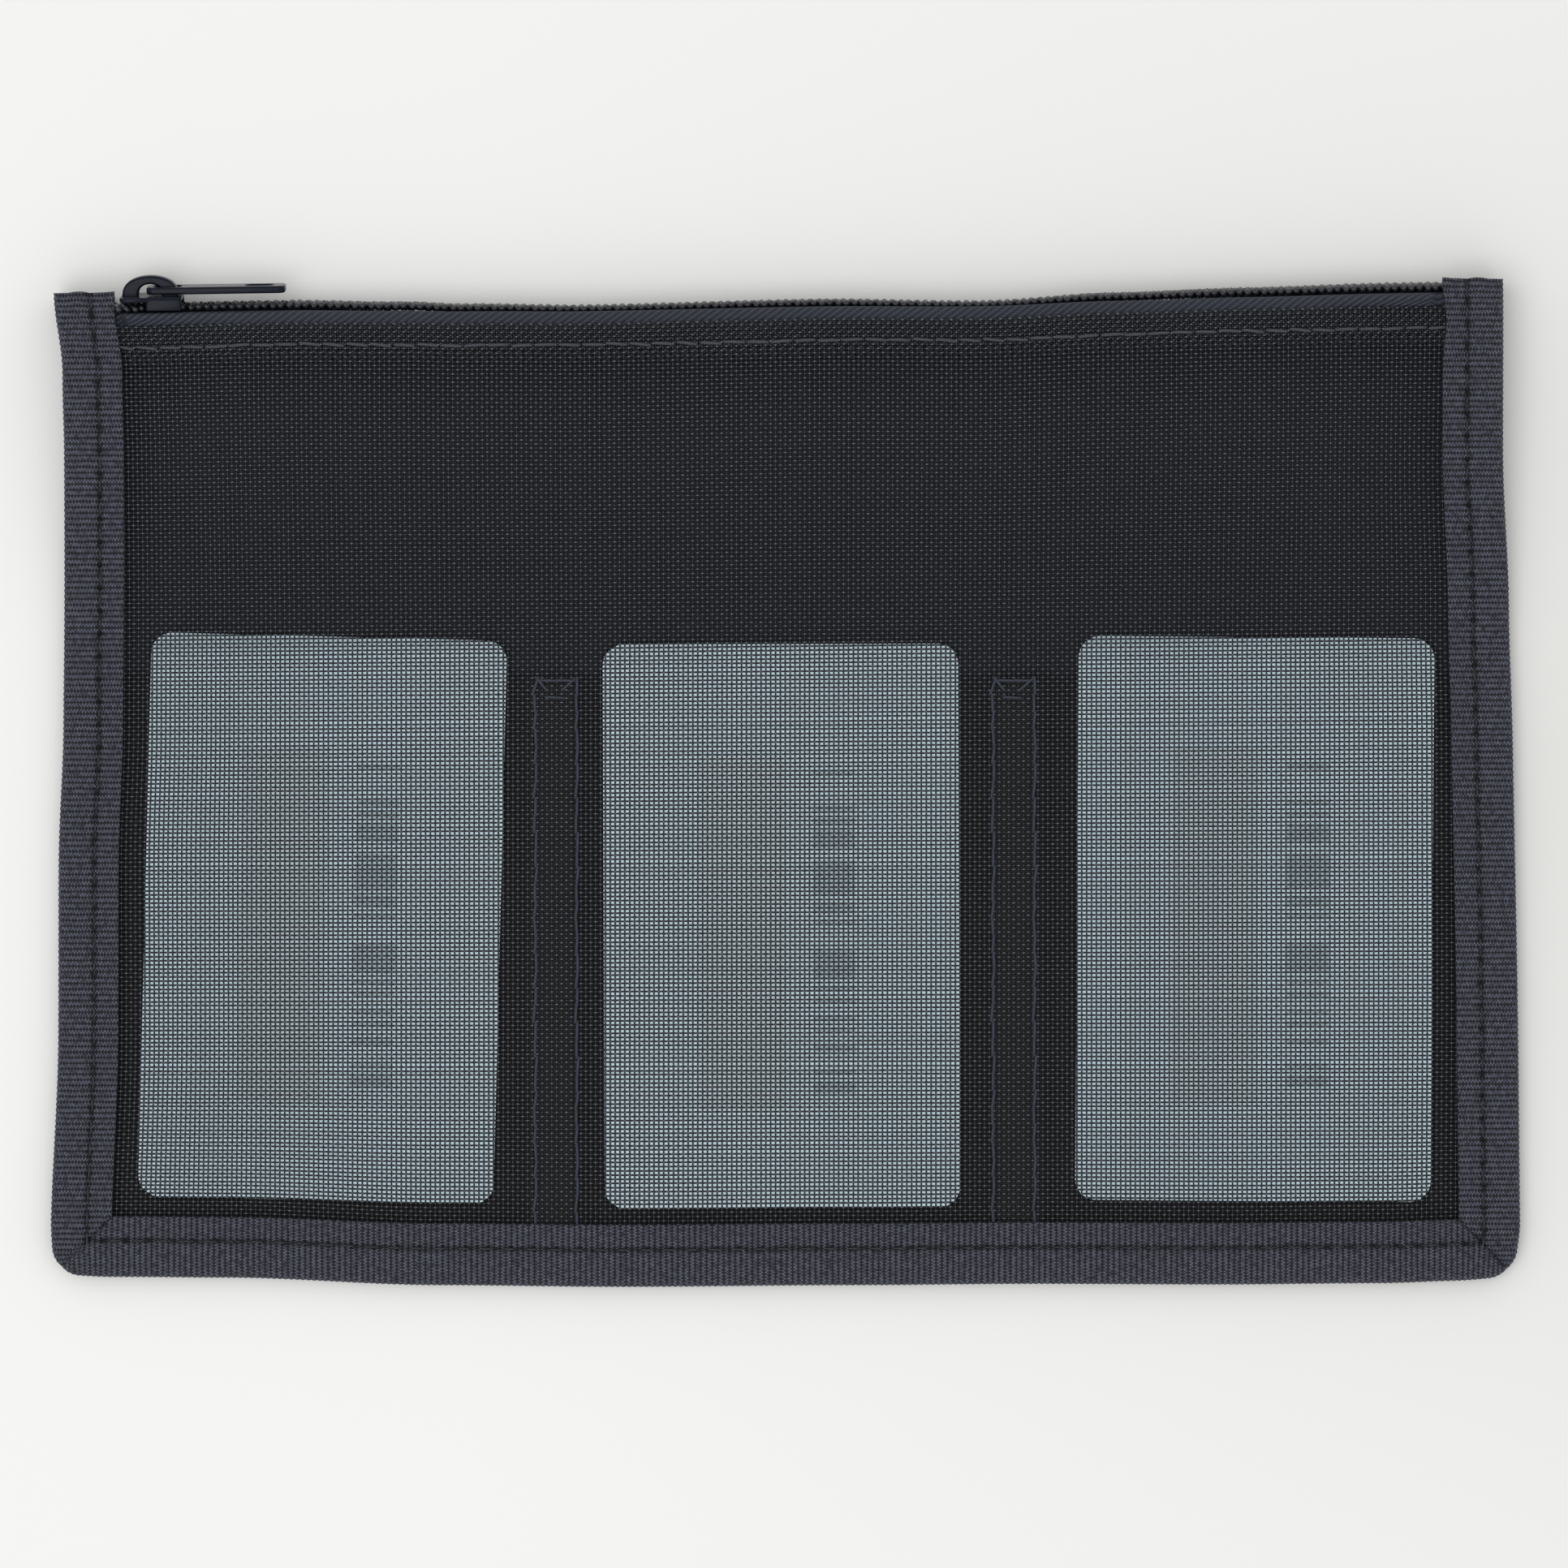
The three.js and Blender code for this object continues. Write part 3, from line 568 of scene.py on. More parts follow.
class Graph:
    """A node tree written as calls. Each call but node gives one output of a new node."""

    def __init__(self, tree):
        self.tree = tree

    def node(self, kind, inputs=None, **settings):
        node = self.tree.nodes.new(kind)
        for name, value in settings.items():
            setattr(node, name, value)
        for name, value in (inputs or {}).items():
            self.plug(node.inputs[name], value)
        return node

    def plug(self, socket, value):
        if isinstance(value, Value):
            self.tree.links.new(value.socket, socket)
        else:
            socket.default_value = value

    def add(self, kind, inputs=None, out=0, **settings):
        return Value(self, self.node(kind, inputs, **settings).outputs[out])

    def math(self, operation, *values, clamp=False):
        return self.add(
            "ShaderNodeMath", dict(enumerate(values)), operation=operation, use_clamp=clamp)

    def shift(self, first, second):
        return self.add("ShaderNodeVectorMath", {0: first, 1: second}, operation="ADD")

    def scale(self, vector, amount):
        return self.add(
            "ShaderNodeVectorMath", {0: vector, "Scale": amount}, operation="SCALE")

    def xyz(self, x, y, z):
        return self.add("ShaderNodeCombineXYZ", {"X": x, "Y": y, "Z": z})

    def parts(self, vector):
        split = self.node("ShaderNodeSeparateXYZ", {0: vector})
        return [Value(self, part) for part in split.outputs]

    def stored(self, name, kind="FLOAT"):
        return self.add(
            "GeometryNodeInputNamedAttribute", {"Name": name}, "Attribute", data_type=kind)

    def moved(self, geometry, offset):
        return self.add("GeometryNodeSetPosition", {"Geometry": geometry, "Offset": offset})

    def curve(self, mesh):
        return self.add("GeometryNodeMeshToCurve", {"Mesh": mesh})

    def tube(self, curve, width, height, sides):
        """Tube of an oval section that stays level along the curve."""
        ring = self.add("GeometryNodeCurvePrimitiveCircle", {"Resolution": sides, "Radius": 0.5})
        section = self.add(
            "GeometryNodeTransform", {"Geometry": ring, "Scale": self.xyz(width, height, 1.0)})
        level = self.add("GeometryNodeSetCurveNormal", {"Curve": curve}, mode="Z_UP")
        return self.add("GeometryNodeCurveToMesh",
                        {"Curve": level, "Profile Curve": section, "Fill Caps": True})


def geometry_tree(name, inputs, build):
    """Tree whose inputs are the geometry, the named sizes and the material."""
    tree = bpy.data.node_groups.new(name, "GeometryNodeTree")
    face = tree.interface
    face.new_socket("Geometry", in_out="OUTPUT", socket_type="NodeSocketGeometry")
    face.new_socket("Geometry", in_out="INPUT", socket_type="NodeSocketGeometry")
    for label, value in inputs.items():
        kind = "NodeSocketVector" if isinstance(value, tuple) else "NodeSocketFloat"
        face.new_socket(label, in_out="INPUT", socket_type=kind).default_value = value
    face.new_socket("Material", in_out="INPUT", socket_type="NodeSocketMaterial")
    graph = Graph(tree)
    given = {entry.name: Value(graph, entry) for entry in graph.node("NodeGroupInput").outputs}
    real = graph.add("GeometryNodeRealizeInstances", {"Geometry": build(graph, given)})
    smoothed = graph.add("GeometryNodeSetShadeSmooth", {"Geometry": real})
    finished = graph.add(
        "GeometryNodeSetMaterial", {"Geometry": smoothed, "Material": given["Material"]})
    graph.node("NodeGroupOutput", {"Geometry": finished})
    return tree


def grow(name, tree, source, material, **sizes):
    """Plain mesh object that a tree makes from a source mesh."""
    carrier = new_object(name, source)
    modifier = carrier.modifiers.new("grow", "NODES")
    modifier.node_group = tree
    values = {**sizes, "material": material}
    for item in tree.interface.items_tree:
        label = item.name.replace(" ", "_").lower()
        if item.in_out == "INPUT" and label in values:
            modifier[item.identifier] = values[label]
    return new_object(name, plain_mesh(carrier))


def weave_tree():
    """Turns a grid of crossings into yarns that pass over and under each other."""

    def yarns(graph, given, unwanted, sign, width, level):
        over = graph.stored("crown") * sign
        kept = graph.add(
            "GeometryNodeDeleteGeometry",
            {"Geometry": given["Geometry"], "Selection": unwanted},
            domain="EDGE", mode="EDGE_FACE")
        waved = graph.moved(kept, graph.xyz(0.0, 0.0, over * given["Lift"]))
        # These attributes also drive the painted highlight and painted shade of mesh_yarn.
        for name, value in (("over", over), ("level_yarn", level)):
            waved = graph.add(
                "GeometryNodeStoreNamedAttribute",
                {"Geometry": waved, "Name": name, "Value": value})
        return graph.tube(graph.curve(waved), width, given["Yarn height"], 4)

    def build(graph, given):
        is_warp = graph.stored("warp")
        warps = yarns(graph, given, 1.0 - is_warp, 1.0, given["Warp width"], 0.0)
        wefts = yarns(graph, given, is_warp, -1.0, given["Weft width"], 1.0)
        both = graph.node("GeometryNodeJoinGeometry")
        graph.plug(both.inputs[0], warps)
        graph.plug(both.inputs[0], wefts)
        return Value(graph, both.outputs[0])

    sizes = {"Lift": YARN_LIFT * MM, "Warp width": WARP_YARN * MM,
             "Weft width": WEFT_YARN * MM, "Yarn height": YARN_HEIGHT * MM}
    return geometry_tree("weave", sizes, build)


def stitch_tree():
    """Sets arched stitches along lines."""

    def build(graph, given):
        half = given["Length"] * 0.5
        low = given["Thread"] * -STITCH_RISE
        arch = graph.add(
            "GeometryNodeCurveQuadraticBezier",
            {"Resolution": 6,
             "Start": graph.xyz(half * -1.0, given["Slant"], low),
             "Middle": graph.xyz(0.0, 0.0, given["Thread"] * STITCH_RISE),
             "End": graph.xyz(half, given["Slant"] * -1.0, low)})
        stitch = graph.tube(arch, given["Thread"], given["Thread"], 6)
        places = graph.node(
            "GeometryNodeCurveToPoints",
            {"Curve": graph.curve(given["Geometry"]), "Length": given["Pitch"]}, mode="LENGTH")
        points, tangent = (Value(graph, places.outputs[name]) for name in ("Points", "Tangent"))
        turned = graph.add(
            "FunctionNodeAxesToRotation",
            {"Primary Axis": tangent, "Secondary Axis": (0.0, 0.0, 1.0)},
            primary_axis="X", secondary_axis="Z")
        return graph.add(
            "GeometryNodeInstanceOnPoints",
            {"Points": points, "Instance": stitch, "Rotation": turned})

    usual = SEAMS["binding_stitches"]
    sizes = {"Pitch": usual.pitch * MM, "Length": usual.length * MM,
             "Thread": usual.width * MM, "Slant": usual.slant * MM}
    return geometry_tree("stitches", sizes, build)


def coil_tree():
    """Winds a wire round a line, in a flat oval."""

    def build(graph, given):
        fine = graph.add(
            "GeometryNodeResampleCurve",
            {"Curve": graph.curve(given["Geometry"]), "Length": given["Pitch"] / COIL_STEPS},
            mode="LENGTH")
        along = graph.add("GeometryNodeSplineParameter", out="Length")
        angle = along / given["Pitch"] * (2 * math.pi)
        out = graph.scale(given["Out"], angle.cosine() * given["Half height"])
        across = graph.scale(given["Across"], angle.sine() * given["Half width"])
        wound = graph.moved(fine, graph.shift(out, across))
        ring = graph.add(
            "GeometryNodeCurvePrimitiveCircle", {"Resolution": 8, "Radius": given["Wire"]})
        fullness = angle.sine() * COIL_SWELL + COIL_FULLNESS
        return graph.add(
            "GeometryNodeCurveToMesh",
            {"Curve": wound, "Profile Curve": ring, "Scale": fullness, "Fill Caps": True})

    half_height = COIL_HEIGHT / 2 - COIL_WIRE
    half_width = (COIL_REACH + COIL_PAST) / 2 - COIL_WIRE
    sizes = {"Pitch": TOOTH_PITCH * MM, "Half height": half_height * MM,
             "Half width": half_width * MM, "Wire": COIL_WIRE * MM,
             "Out": (0.0, 1.0, 0.0), "Across": (0.0, 0.0, 1.0)}
    return geometry_tree("coil", sizes, build)


def cord_tree():
    """Plain round cord along a line."""

    def build(graph, given):
        curve = graph.curve(given["Geometry"])
        return graph.tube(curve, given["Thickness"], given["Thickness"], 8)

    return geometry_tree("cord", {"Thickness": CORD_THICKNESS * MM}, build)


def rib_tree():
    """Raises rounded ribs across a tape. The tape's points know how far along it they lie."""

    def build(graph, given):
        turns = graph.stored("along") / given["Pitch"]
        rib = abs((turns * math.pi).cosine()) * given["Height"]
        out = graph.stored("out", "FLOAT_VECTOR")
        return graph.moved(given["Geometry"], graph.scale(out, rib))

    return geometry_tree("ribs", {"Pitch": RIB_PITCH, "Height": RIB_HEIGHT * MM}, build)


# Finishes


class Finish(Graph):
    """A material written as calls."""

    def __init__(self, name, color, roughness, specular=0.5, sheen=0.0):
        self.material = bpy.data.materials.new(name)
        self.material.use_nodes = True
        super().__init__(self.material.node_tree)
        self.color = color
        self.shader = self.tree.nodes["Principled BSDF"].inputs
        self.shader["Base Color"].default_value = (*color, 1.0)
        self.shader["Roughness"].default_value = roughness
        self.shader["Specular IOR Level"].default_value = specular
        self.shader["Sheen Weight"].default_value = sheen

    def place(self):
        """Place on the object, in millimetres."""
        return self.scale(self.add("ShaderNodeTexCoord", out="Object"), 1.0 / MM)

    def tape_place(self):
        """Millimetres along and across a tape."""
        return self.parts(self.add("ShaderNodeUVMap", uv_map="Tape"))[:2]

    def noise(self, scale):
        return self.add(
            "ShaderNodeTexNoise", {"Vector": self.place(), "Scale": scale, "Detail": 3.0})

    def wave(self, value, pitch, phase=0.0):
        """From 0 to 1 and back once in each pitch."""
        return (value * (2 * math.pi / pitch) + phase).sine() * 0.5 + 0.5

    def box(self, x, y, middle, size):
        """1 inside an upright rectangle and 0 outside."""
        in_x, in_y = (self.math("LESS_THAN", abs(value - at), length / 2)
                      for value, at, length in zip((x, y), middle, size))
        return in_x * in_y

    def shade(self, amount):
        """A colour from an output, from a colour, or from an amount of the finish's own."""
        if isinstance(amount, Value):
            return amount
        if isinstance(amount, tuple):
            return (*amount, 1.0)
        return (*(channel * amount for channel in self.color), 1.0)

    def mixed(self, share, first, second):
        return self.add(
            "ShaderNodeMixRGB", {0: share, 1: self.shade(first), 2: self.shade(second)})

    def tint(self, share, dark, light):
        self.plug(self.shader["Base Color"], self.mixed(share, dark, light))

    def bump(self, height, depth, strength=1.0):
        self.plug(self.shader["Normal"], self.add(
            "ShaderNodeBump", {"Strength": strength, "Distance": depth * MM, "Height": height}))


def mesh_yarn():
    """Yarn with a painted highlight where it crosses over another, more so in the level yarns, and
    painted shade where it passes under.
    """
    dark, light = (0.0016, 0.0024, 0.0044), (0.135, 0.147, 0.172)
    yarn = Finish("mesh_yarn", dark, 0.45, specular=0.3)
    over = yarn.add("ShaderNodeAttribute", out="Fac", attribute_name="over")
    level = yarn.add("ShaderNodeAttribute", out="Fac", attribute_name="level_yarn")
    # The crown share sets the painted highlight on each crossing-over and the painted shade where
    # the yarn dips under.
    crown = yarn.math("MAXIMUM", over * 0.6 + 0.4, 0.0)
    patchy = yarn.noise(0.6) * 0.8 + 0.6
    yarn.tint(crown ** 4.2 * (level * 0.65 + 0.35) * patchy, dark, light)
    return yarn.material


def dense_cloth(name, color):
    """Plain-woven nylon, with fine threads both ways."""
    nylon = Finish(name, color, 0.8, sheen=0.1)
    x, y, _ = nylon.parts(nylon.place())
    weave = nylon.wave(x, 0.34) * nylon.wave(y, 0.3)
    nylon.tint(weave * 0.6 + nylon.noise(0.4), 0.6, 1.6)
    nylon.bump(weave, 0.06)
    return nylon.material


def grosgrain():
    """Ribbed tape: each rib is bound by fine threads along the tape, and the seam is sunk. Painted
    shade darkens the valleys between ribs and the seam with its stitch holes.
    """
    tape = Finish("grosgrain", (0.031, 0.033, 0.045), 0.72, specular=0.3)
    along, across = tape.tape_place()
    rib = tape.math("FLOOR", along / RIB_PITCH)
    threads = tape.wave(across, GRAIN_PITCH, tape.math("MODULO", rib, 2.0) * math.pi)
    # Painted shade in the valleys between the ribs.
    valley_shade = abs((along * (math.pi / RIB_PITCH)).cosine())
    worn = tape.noise(1.5) * 3.0 - 0.55
    off_seam = (across - SEAM_ACROSS) / SEAM_WIDTH
    # Painted shade along the seam, deeper at its stitch holes.
    seam_shade = tape.math("EXPONENT", off_seam ** 2.0 * -1.0)
    hole = tape.wave(along, STITCH_PITCH, math.pi / 2) ** 12.0
    lit = (threads ** 1.5 * 0.8 + 0.2) * valley_shade * worn - seam_shade * (hole * 0.6 + 0.4)
    tape.tint(tape.math("MAXIMUM", lit, 0.0), 0.15, 4.1)
    tape.bump(threads, 0.2)
    return tape.material


def zip_twill():
    tape = Finish("zip_twill", (0.017, 0.022, 0.037), 0.7)
    along, across = tape.tape_place()
    twill = tape.wave(along * 0.47 + across * 0.88, 0.62)
    share = twill * (tape.wave(along - across, 0.9) * 0.4 + 0.6)
    tape.tint(share, 0.2, 2.1)
    tape.bump(share, 0.2)
    return tape.material


def coil_nylon():
    wire = Finish("coil_nylon", (0.014, 0.015, 0.020), 0.28)
    wire.tint(wire.noise(2.5), 0.75, 1.3)
    return wire.material


def sewing_thread(name, color):
    thread = Finish(name, color, 0.65)
    x, y, z = thread.parts(thread.place())
    twist = thread.wave(x + y + z, 0.25)
    thread.tint(twist, 0.65, 1.35)
    thread.bump(twist, 0.03)
    return thread.material


def slider_paint():
    paint = Finish("slider_paint", (0.0045, 0.0065, 0.0135), 0.2, specular=0.13)
    paint.tint(paint.noise(1.4), 0.85, 1.2)
    paint.bump(paint.noise(3.0), 0.02, 0.4)
    return paint.material


def card_finish(name, centre, turn):
    """Pale satin plastic with a faint panel and a strip of bars printed on it."""
    plastic = Finish(f"plastic_{name}", (0.71, 0.89, 0.99), 0.45)
    spot = plastic.add(
        "ShaderNodeMapping",
        {"Vector": plastic.add("ShaderNodeTexCoord", out="Object"),
         "Location": (centre[0] * MM, centre[1] * MM, 0.0),
         "Rotation": (0.0, 0.0, turn), "Scale": (MM, MM, MM)},
        vector_type="TEXTURE")
    x, y, _ = plastic.parts(spot)
    cell = plastic.math("FLOOR", y * BARS_PER_MM)
    chance = plastic.add("ShaderNodeTexWhiteNoise", {"W": cell}, noise_dimensions="1D")
    bars = plastic.box(x, y, *CARD_STRIP) * plastic.math("GREATER_THAN", chance, BAR_GAPS)
    panelled = plastic.mixed(plastic.box(x, y, *CARD_PANEL), 1.0, PANEL_INK)
    plastic.tint(bars, panelled, BAR_INK)
    return plastic.material


def floor_finish():
    """Pale paper with painted shade, a little darker to the right of the pouch."""
    paper = Finish("pale_paper", (0.825, 0.825, 0.812), 0.9, specular=0.1)
    x, y, _ = paper.parts(paper.place())
    # Painted shade: darker towards the right and towards the pouch's middle height.
    to_right = x * (1 / 320.0) + 0.15
    near_middle = 1.0 - abs(y) * 0.006
    share = paper.math("MULTIPLY", to_right, near_middle, clamp=True)
    paper.tint(share, 1.0, (0.62, 0.62, 0.595))
    return paper.material


# Soft pieces


def grid_faces(at):
    """Quads of a grid of point numbers."""
    return np.stack([at[:-1, :-1], at[:-1, 1:], at[1:, 1:], at[1:, :-1]], -1).reshape(-1, 4)


def distance_along(points, axis):
    """Distance run over a grid of points along one axis, up to each point."""
    steps = np.linalg.norm(np.diff(points, axis=axis), axis=-1)
    start = np.zeros_like(np.take(steps, [0], axis))
    return np.concatenate([start, np.cumsum(steps, axis)], axis)


def sheet_mesh(name, outer, inner):
    """Solid sheet between two grids of points, with its cut's sizes in the Tape map."""
    rows, columns = outer.shape[:2]
    points = settle(np.concatenate([outer.reshape(-1, 3), inner.reshape(-1, 3)]))
    top, low = np.arange(2 * rows * columns).reshape(2, rows, columns)
    rim = np.concatenate([top[0, :-1], top[:-1, -1], top[-1, :0:-1], top[:0:-1, 0]])
    other = rim + rows * columns
    edge = np.stack([np.roll(rim, -1), rim, other, np.roll(other, -1)], -1)
    faces = np.concatenate([grid_faces(top), grid_faces(low)[:, [0, 3, 2, 1]], edge])
    mesh = mesh_of(name, points, faces.tolist())
    shade_smooth(mesh)
    grid = points[:rows * columns].reshape(rows, columns, 3)
    places = np.stack([distance_along(grid, 1), distance_along(grid, 0)], -1)
    paint_map(mesh, "Tape", places.reshape(-1, 2))
    return mesh


def crossings():
    """Grid of the mesh's crossings: rows from the bottom to the fold, and back under the hem."""
    random = np.random.default_rng(MESH_SEED)
    left = side_x(-1, ZIP_Y) + BINDING_WIDTH - MESH_OVERRUN - MESH_LEFT_EXTRA
    right = side_x(1, BOTTOM_Y) - BINDING_WIDTH + MESH_OVERRUN
    columns = int((right - left) / WARP_PITCH)
    low = POCKET_FLOOR_Y - MESH_OVERRUN
    rows = int((fold_y(0.0) - low) / WEFT_PITCH)
    hem_rows = int(ZIP_HEM / WEFT_PITCH)
    x = left + WARP_PITCH * np.arange(columns + 1) + random.normal(0, WARP_JITTER, columns + 1)
    row = np.arange(rows + hem_rows + 1)[:, None]
    up = np.minimum(row, rows) / rows
    under = np.maximum(row - rows, 0)
    jitter = random.normal(0, WEFT_JITTER, row.shape) * (up < 1)
    drop = WEFT_PITCH * np.maximum(under - FOLD_ROWS, 0)
    grid_x = x + HEM_SHIFT * smooth(under / HEM_SHIFT_ROWS)
    grid_y = lerp(low, fold_y(x), up) + jitter - drop
    sink = MESH_SINK * (1.0 - rise(grid_y)) + FRONT_THICKNESS * smooth(under / HEM_DROP_ROWS)
    grid_z = front_outer_z(grid_x, grid_y) - FRONT_THICKNESS / 2 - sink
    return np.stack([grid_x, grid_y, grid_z], -1)


def front_mesh(tree, material):
    """The woven front in upright strips, so that each piece stays light."""
    grid = settle(crossings())
    rows, columns = grid.shape[:2]
    bounds = np.linspace(0, columns - 1, MESH_STRIPS + 1).astype(int)
    for number, (first, last) in enumerate(zip(bounds[:-1], bounds[1:]), 1):
        part = grid[:, first:last + 1]
        i, j = np.indices(part.shape[:2])
        at = np.arange(i.size).reshape(i.shape)
        own = at if number == MESH_STRIPS else at[:, :-1]
        upright = np.stack([own[:-1], own[1:]], -1).reshape(-1, 2)
        level = np.stack([at[:, :-1], at[:, 1:]], -1).reshape(-1, 2)
        edges = np.concatenate([upright, level]).tolist()
        mesh = mesh_of("crossings", part.reshape(-1, 3), [], edges)
        store(mesh, "crown", "POINT", np.where((i + j + first) % 2 == 0, 1.0, -1.0).ravel())
        store(mesh, "warp", "EDGE", np.r_[np.ones(len(upright)), np.zeros(len(level))])
        piece = grow(f"front_mesh_{number}", tree, mesh, material)
        flat_bake_map(piece.data)
        replaced = ["front_panel"] if number == 1 else []
        dress(piece, material, "front_mesh", *replaced)
        cut(float(np.ptp(part[..., 0])), (rows - 1) * WEFT_PITCH)


def flat_bake_map(mesh):
    """Map from straight above, for baking a piece of thousands of yarns."""
    points = np.empty(len(mesh.vertices) * 3)
    mesh.vertices.foreach_get("co", points)
    flat = points.reshape(-1, 3)[:, :2]
    paint_map(mesh, "OFBake", (flat - flat.min(0)) / np.ptp(flat, axis=0).max())


def cloth(name, material, node, front, back, top_y, step):
    """Sheet between two heights over the pouch, from the foot to a top edge that may slope."""
    low = BOTTOM_Y + PANEL_INSET
    rows = int((top_y(0.0) - low) / step)
    share = np.linspace(0.0, 1.0, rows + 1)[:, None]
    across = np.linspace(0.0, 1.0, int(BOTTOM_WIDTH / step) + 1)
    straight_y = lerp(low, top_y(0.0), share)
    x = lerp(side_x(-1, straight_y) + PANEL_INSET, side_x(1, straight_y) - PANEL_INSET, across)
    y = lerp(low, top_y(x), share)
    faces = (np.stack([x, y, height(x, y)], -1) for height in (front, back))
    piece = new_object(name, sheet_mesh(name, *faces))
    dress(piece, material, name, node)
    cut(BOTTOM_WIDTH - 2 * PANEL_INSET, top_y(0.0) - BOTTOM_Y - PANEL_INSET)


def back_cloth(material):
    def inside(x, y):
        hem = fades(fold_y(x) - ZIP_HEM - y, HEM_STEP)
        return back_outer_z(x, y) + BACK_THICKNESS * (1.0 + hem)

    cloth("back_cloth", material, "back_panel", inside, back_outer_z, fold_y, BACK_STEP)


def pocket_cloth(material):
    def over(x, y):
        return pocket_under_z(x, y) + POCKET_THICKNESS

    def under(x, y):
        hem = fades(POCKET_TOP_Y - POCKET_HEM - y, HEM_STEP)
        return pocket_under_z(x, y) - POCKET_THICKNESS * hem

    def top_y(x):
        return POCKET_TOP_Y + 0.0 * x

    cloth("pocket_cloth", material, "pocket_panel", over, under, top_y, POCKET_STEP)


# Binding


def leg_point(leg, along, depth):
    """Point of the binding's edge, a depth inside it, and how far it is to the mitre. Leg -1 and
    1 are the sides, counted down from their ends, and leg 0 is the bottom, counted both ways
    from the middle."""
    side = np.where(along < 0, -1.0, 1.0) if leg == 0 else float(leg)
    turn = np.maximum(CORNER_RADIUS, depth)
    radius = turn - depth
    centre_y = BOTTOM_Y + turn
    if leg == 0:
        straight = np.abs(side_x(side, centre_y) - side * turn)
    else:
        straight = binding_end_y(leg) - centre_y
    run = np.abs(along)
    past = np.maximum(run - straight, 0.0)
    angle = np.minimum(past / np.maximum(radius, 1e-9), math.pi / 4)
    left_over = straight + radius * math.pi / 4 - run
    if leg == 0:
        x = side * np.minimum(run, straight) + side * radius * np.sin(angle)
        return x, centre_y - radius * np.cos(angle), left_over
    straight_y = binding_end_y(leg) - np.minimum(run, straight)
    x = side_x(leg, straight_y) - leg * turn + side * radius * np.cos(angle)
    return x, straight_y - radius * np.sin(angle), left_over


def swell(depth, height, start, run):
    """Half a wave over part of the tape's width."""
    return height * math.sin(math.pi * np.clip((depth - start) / run, 0, 1))


def dent(distance, width):
    """1 in the middle of a dent, fading to 0 around it."""
    return np.exp(-(distance / width) ** 2)


def binding_section():
    """Points of the folded tape from its front edge to its back edge: depth, level, height over
    that level, and the outward direction in depth and height."""
    section = []
    for depth in FRONT_DEPTHS:
        groove = SEAM_GROOVE * dent(depth - STITCH_DEPTH, SEAM_WIDTH)
        height = swell(depth, *OUTER_SWELL) + swell(depth, *INNER_SWELL) - groove
        section.append((depth, 1, height, 0.0, 1.0))
    for turn in np.linspace(0.0, math.pi, NOSE_POINTS):
        level = 1 if turn <= math.pi / 2 else 0
        under = (1.0 - math.cos(turn)) / 2
        share = lerp(1.0, BACK_RIB_SHARE, under)
        height = NOSE_RADIUS * (math.cos(turn) + 1.0 - 2.0 * level)
        section.append((NOSE_RADIUS - NOSE_RADIUS * math.sin(turn), level,
                        height + BACK_RIB_SHARE * RIB_HEIGHT * under,
                        -share * math.sin(turn), share * math.cos(turn)))
    for depth in BACK_DEPTHS:
        section.append((depth, 0, BACK_RIB_SHARE * RIB_HEIGHT, 0.0, -BACK_RIB_SHARE))
    return section


def lining_section():
    """Inner side of the tape from its back edge to its front edge, with few points."""
    flat = [(BINDING_BACK_WIDTH, 0, BINDING_THICKNESS), (NOSE_RADIUS, 0, BINDING_THICKNESS)]
    nose = [(BINDING_THICKNESS, 0, NOSE_RADIUS), (BINDING_THICKNESS, 1, -NOSE_RADIUS)]
    front = [(NOSE_RADIUS, 1, -BINDING_THICKNESS), (FRONT_DEPTHS[0], 1, -BINDING_THICKNESS)]
    return [(*point, 0.0, 0.0) for point in flat + nose + front]


def binding_leg(leg):
    """Points, outward directions, map and faces of one leg of the binding."""
    step = RIB_PITCH / 4
    if leg == 0:
        count = int(BOTTOM_WIDTH / 2 / step)
        along = np.arange(-count, count + 1) * step
        inward = np.array([0.0, 1.0, 0.0])
    else:
        along = np.arange(int((binding_end_y(leg) - BOTTOM_Y) / step) + 1) * step
        inward = np.array([-float(leg), 0.0, 0.0])
    depth, level, height, out_depth, out_up = np.array(binding_section() + lining_section()).T
    x, y, left_over = leg_point(leg, along[:, None], depth)
    z = np.where(level > 0, seam_top_z(y), seam_bottom_z(y)) + height
    if leg != 0:
        reach = smooth((depth - TOP_BULGE_START) / TOP_BULGE_RUN)
        x = x - TOP_BULGE[leg] * dent(y - TOP_BULGE_Y, TOP_BULGE_LENGTH) * reach
        wavy = 1.0 + np.sin(END_WAVE_RATE * depth)
        y = y - END_WAVE * wavy * np.exp(-along / END_WAVE_REACH)[:, None]
    crease = MITRE_CREASE * dent(left_over, MITRE_CREASE_WIDTH) * (depth < FRONT_DEPTHS[0])
    z = z - np.where(level > 0, crease, -MITRE_BACK_SHARE * crease)
    off_hole = (along / STITCH_PITCH - np.round(along / STITCH_PITCH)) * STITCH_PITCH
    hole = dent(off_hole, HOLE_LENGTH)[:, None] * dent(depth - STITCH_DEPTH, SEAM_WIDTH)
    z = z - HOLE_DEPTH * hole * (height > -NOSE_RADIUS / 2) * (level > 0)
    points = np.stack([x, y, z], -1)
    out = inward * out_depth[:, None] + UP * out_up[:, None]
    out = out * smooth(left_over / RIB_FADE)[..., None]
    spread = distance_along(points[len(along) // 2], 0)
    places = np.stack(np.broadcast_arrays(along[:, None], spread), -1)
    at = np.arange(x.size).reshape(x.shape)
    faces = grid_faces(np.hstack([at, at[:, :1]])).tolist()
    if leg != 0:
        faces.append(at[0, ::-1].tolist())
    if leg == -1:
        faces = [face[::-1] for face in faces]
    return points.reshape(-1, 3), out.reshape(-1, 3), places.reshape(-1, 2), faces


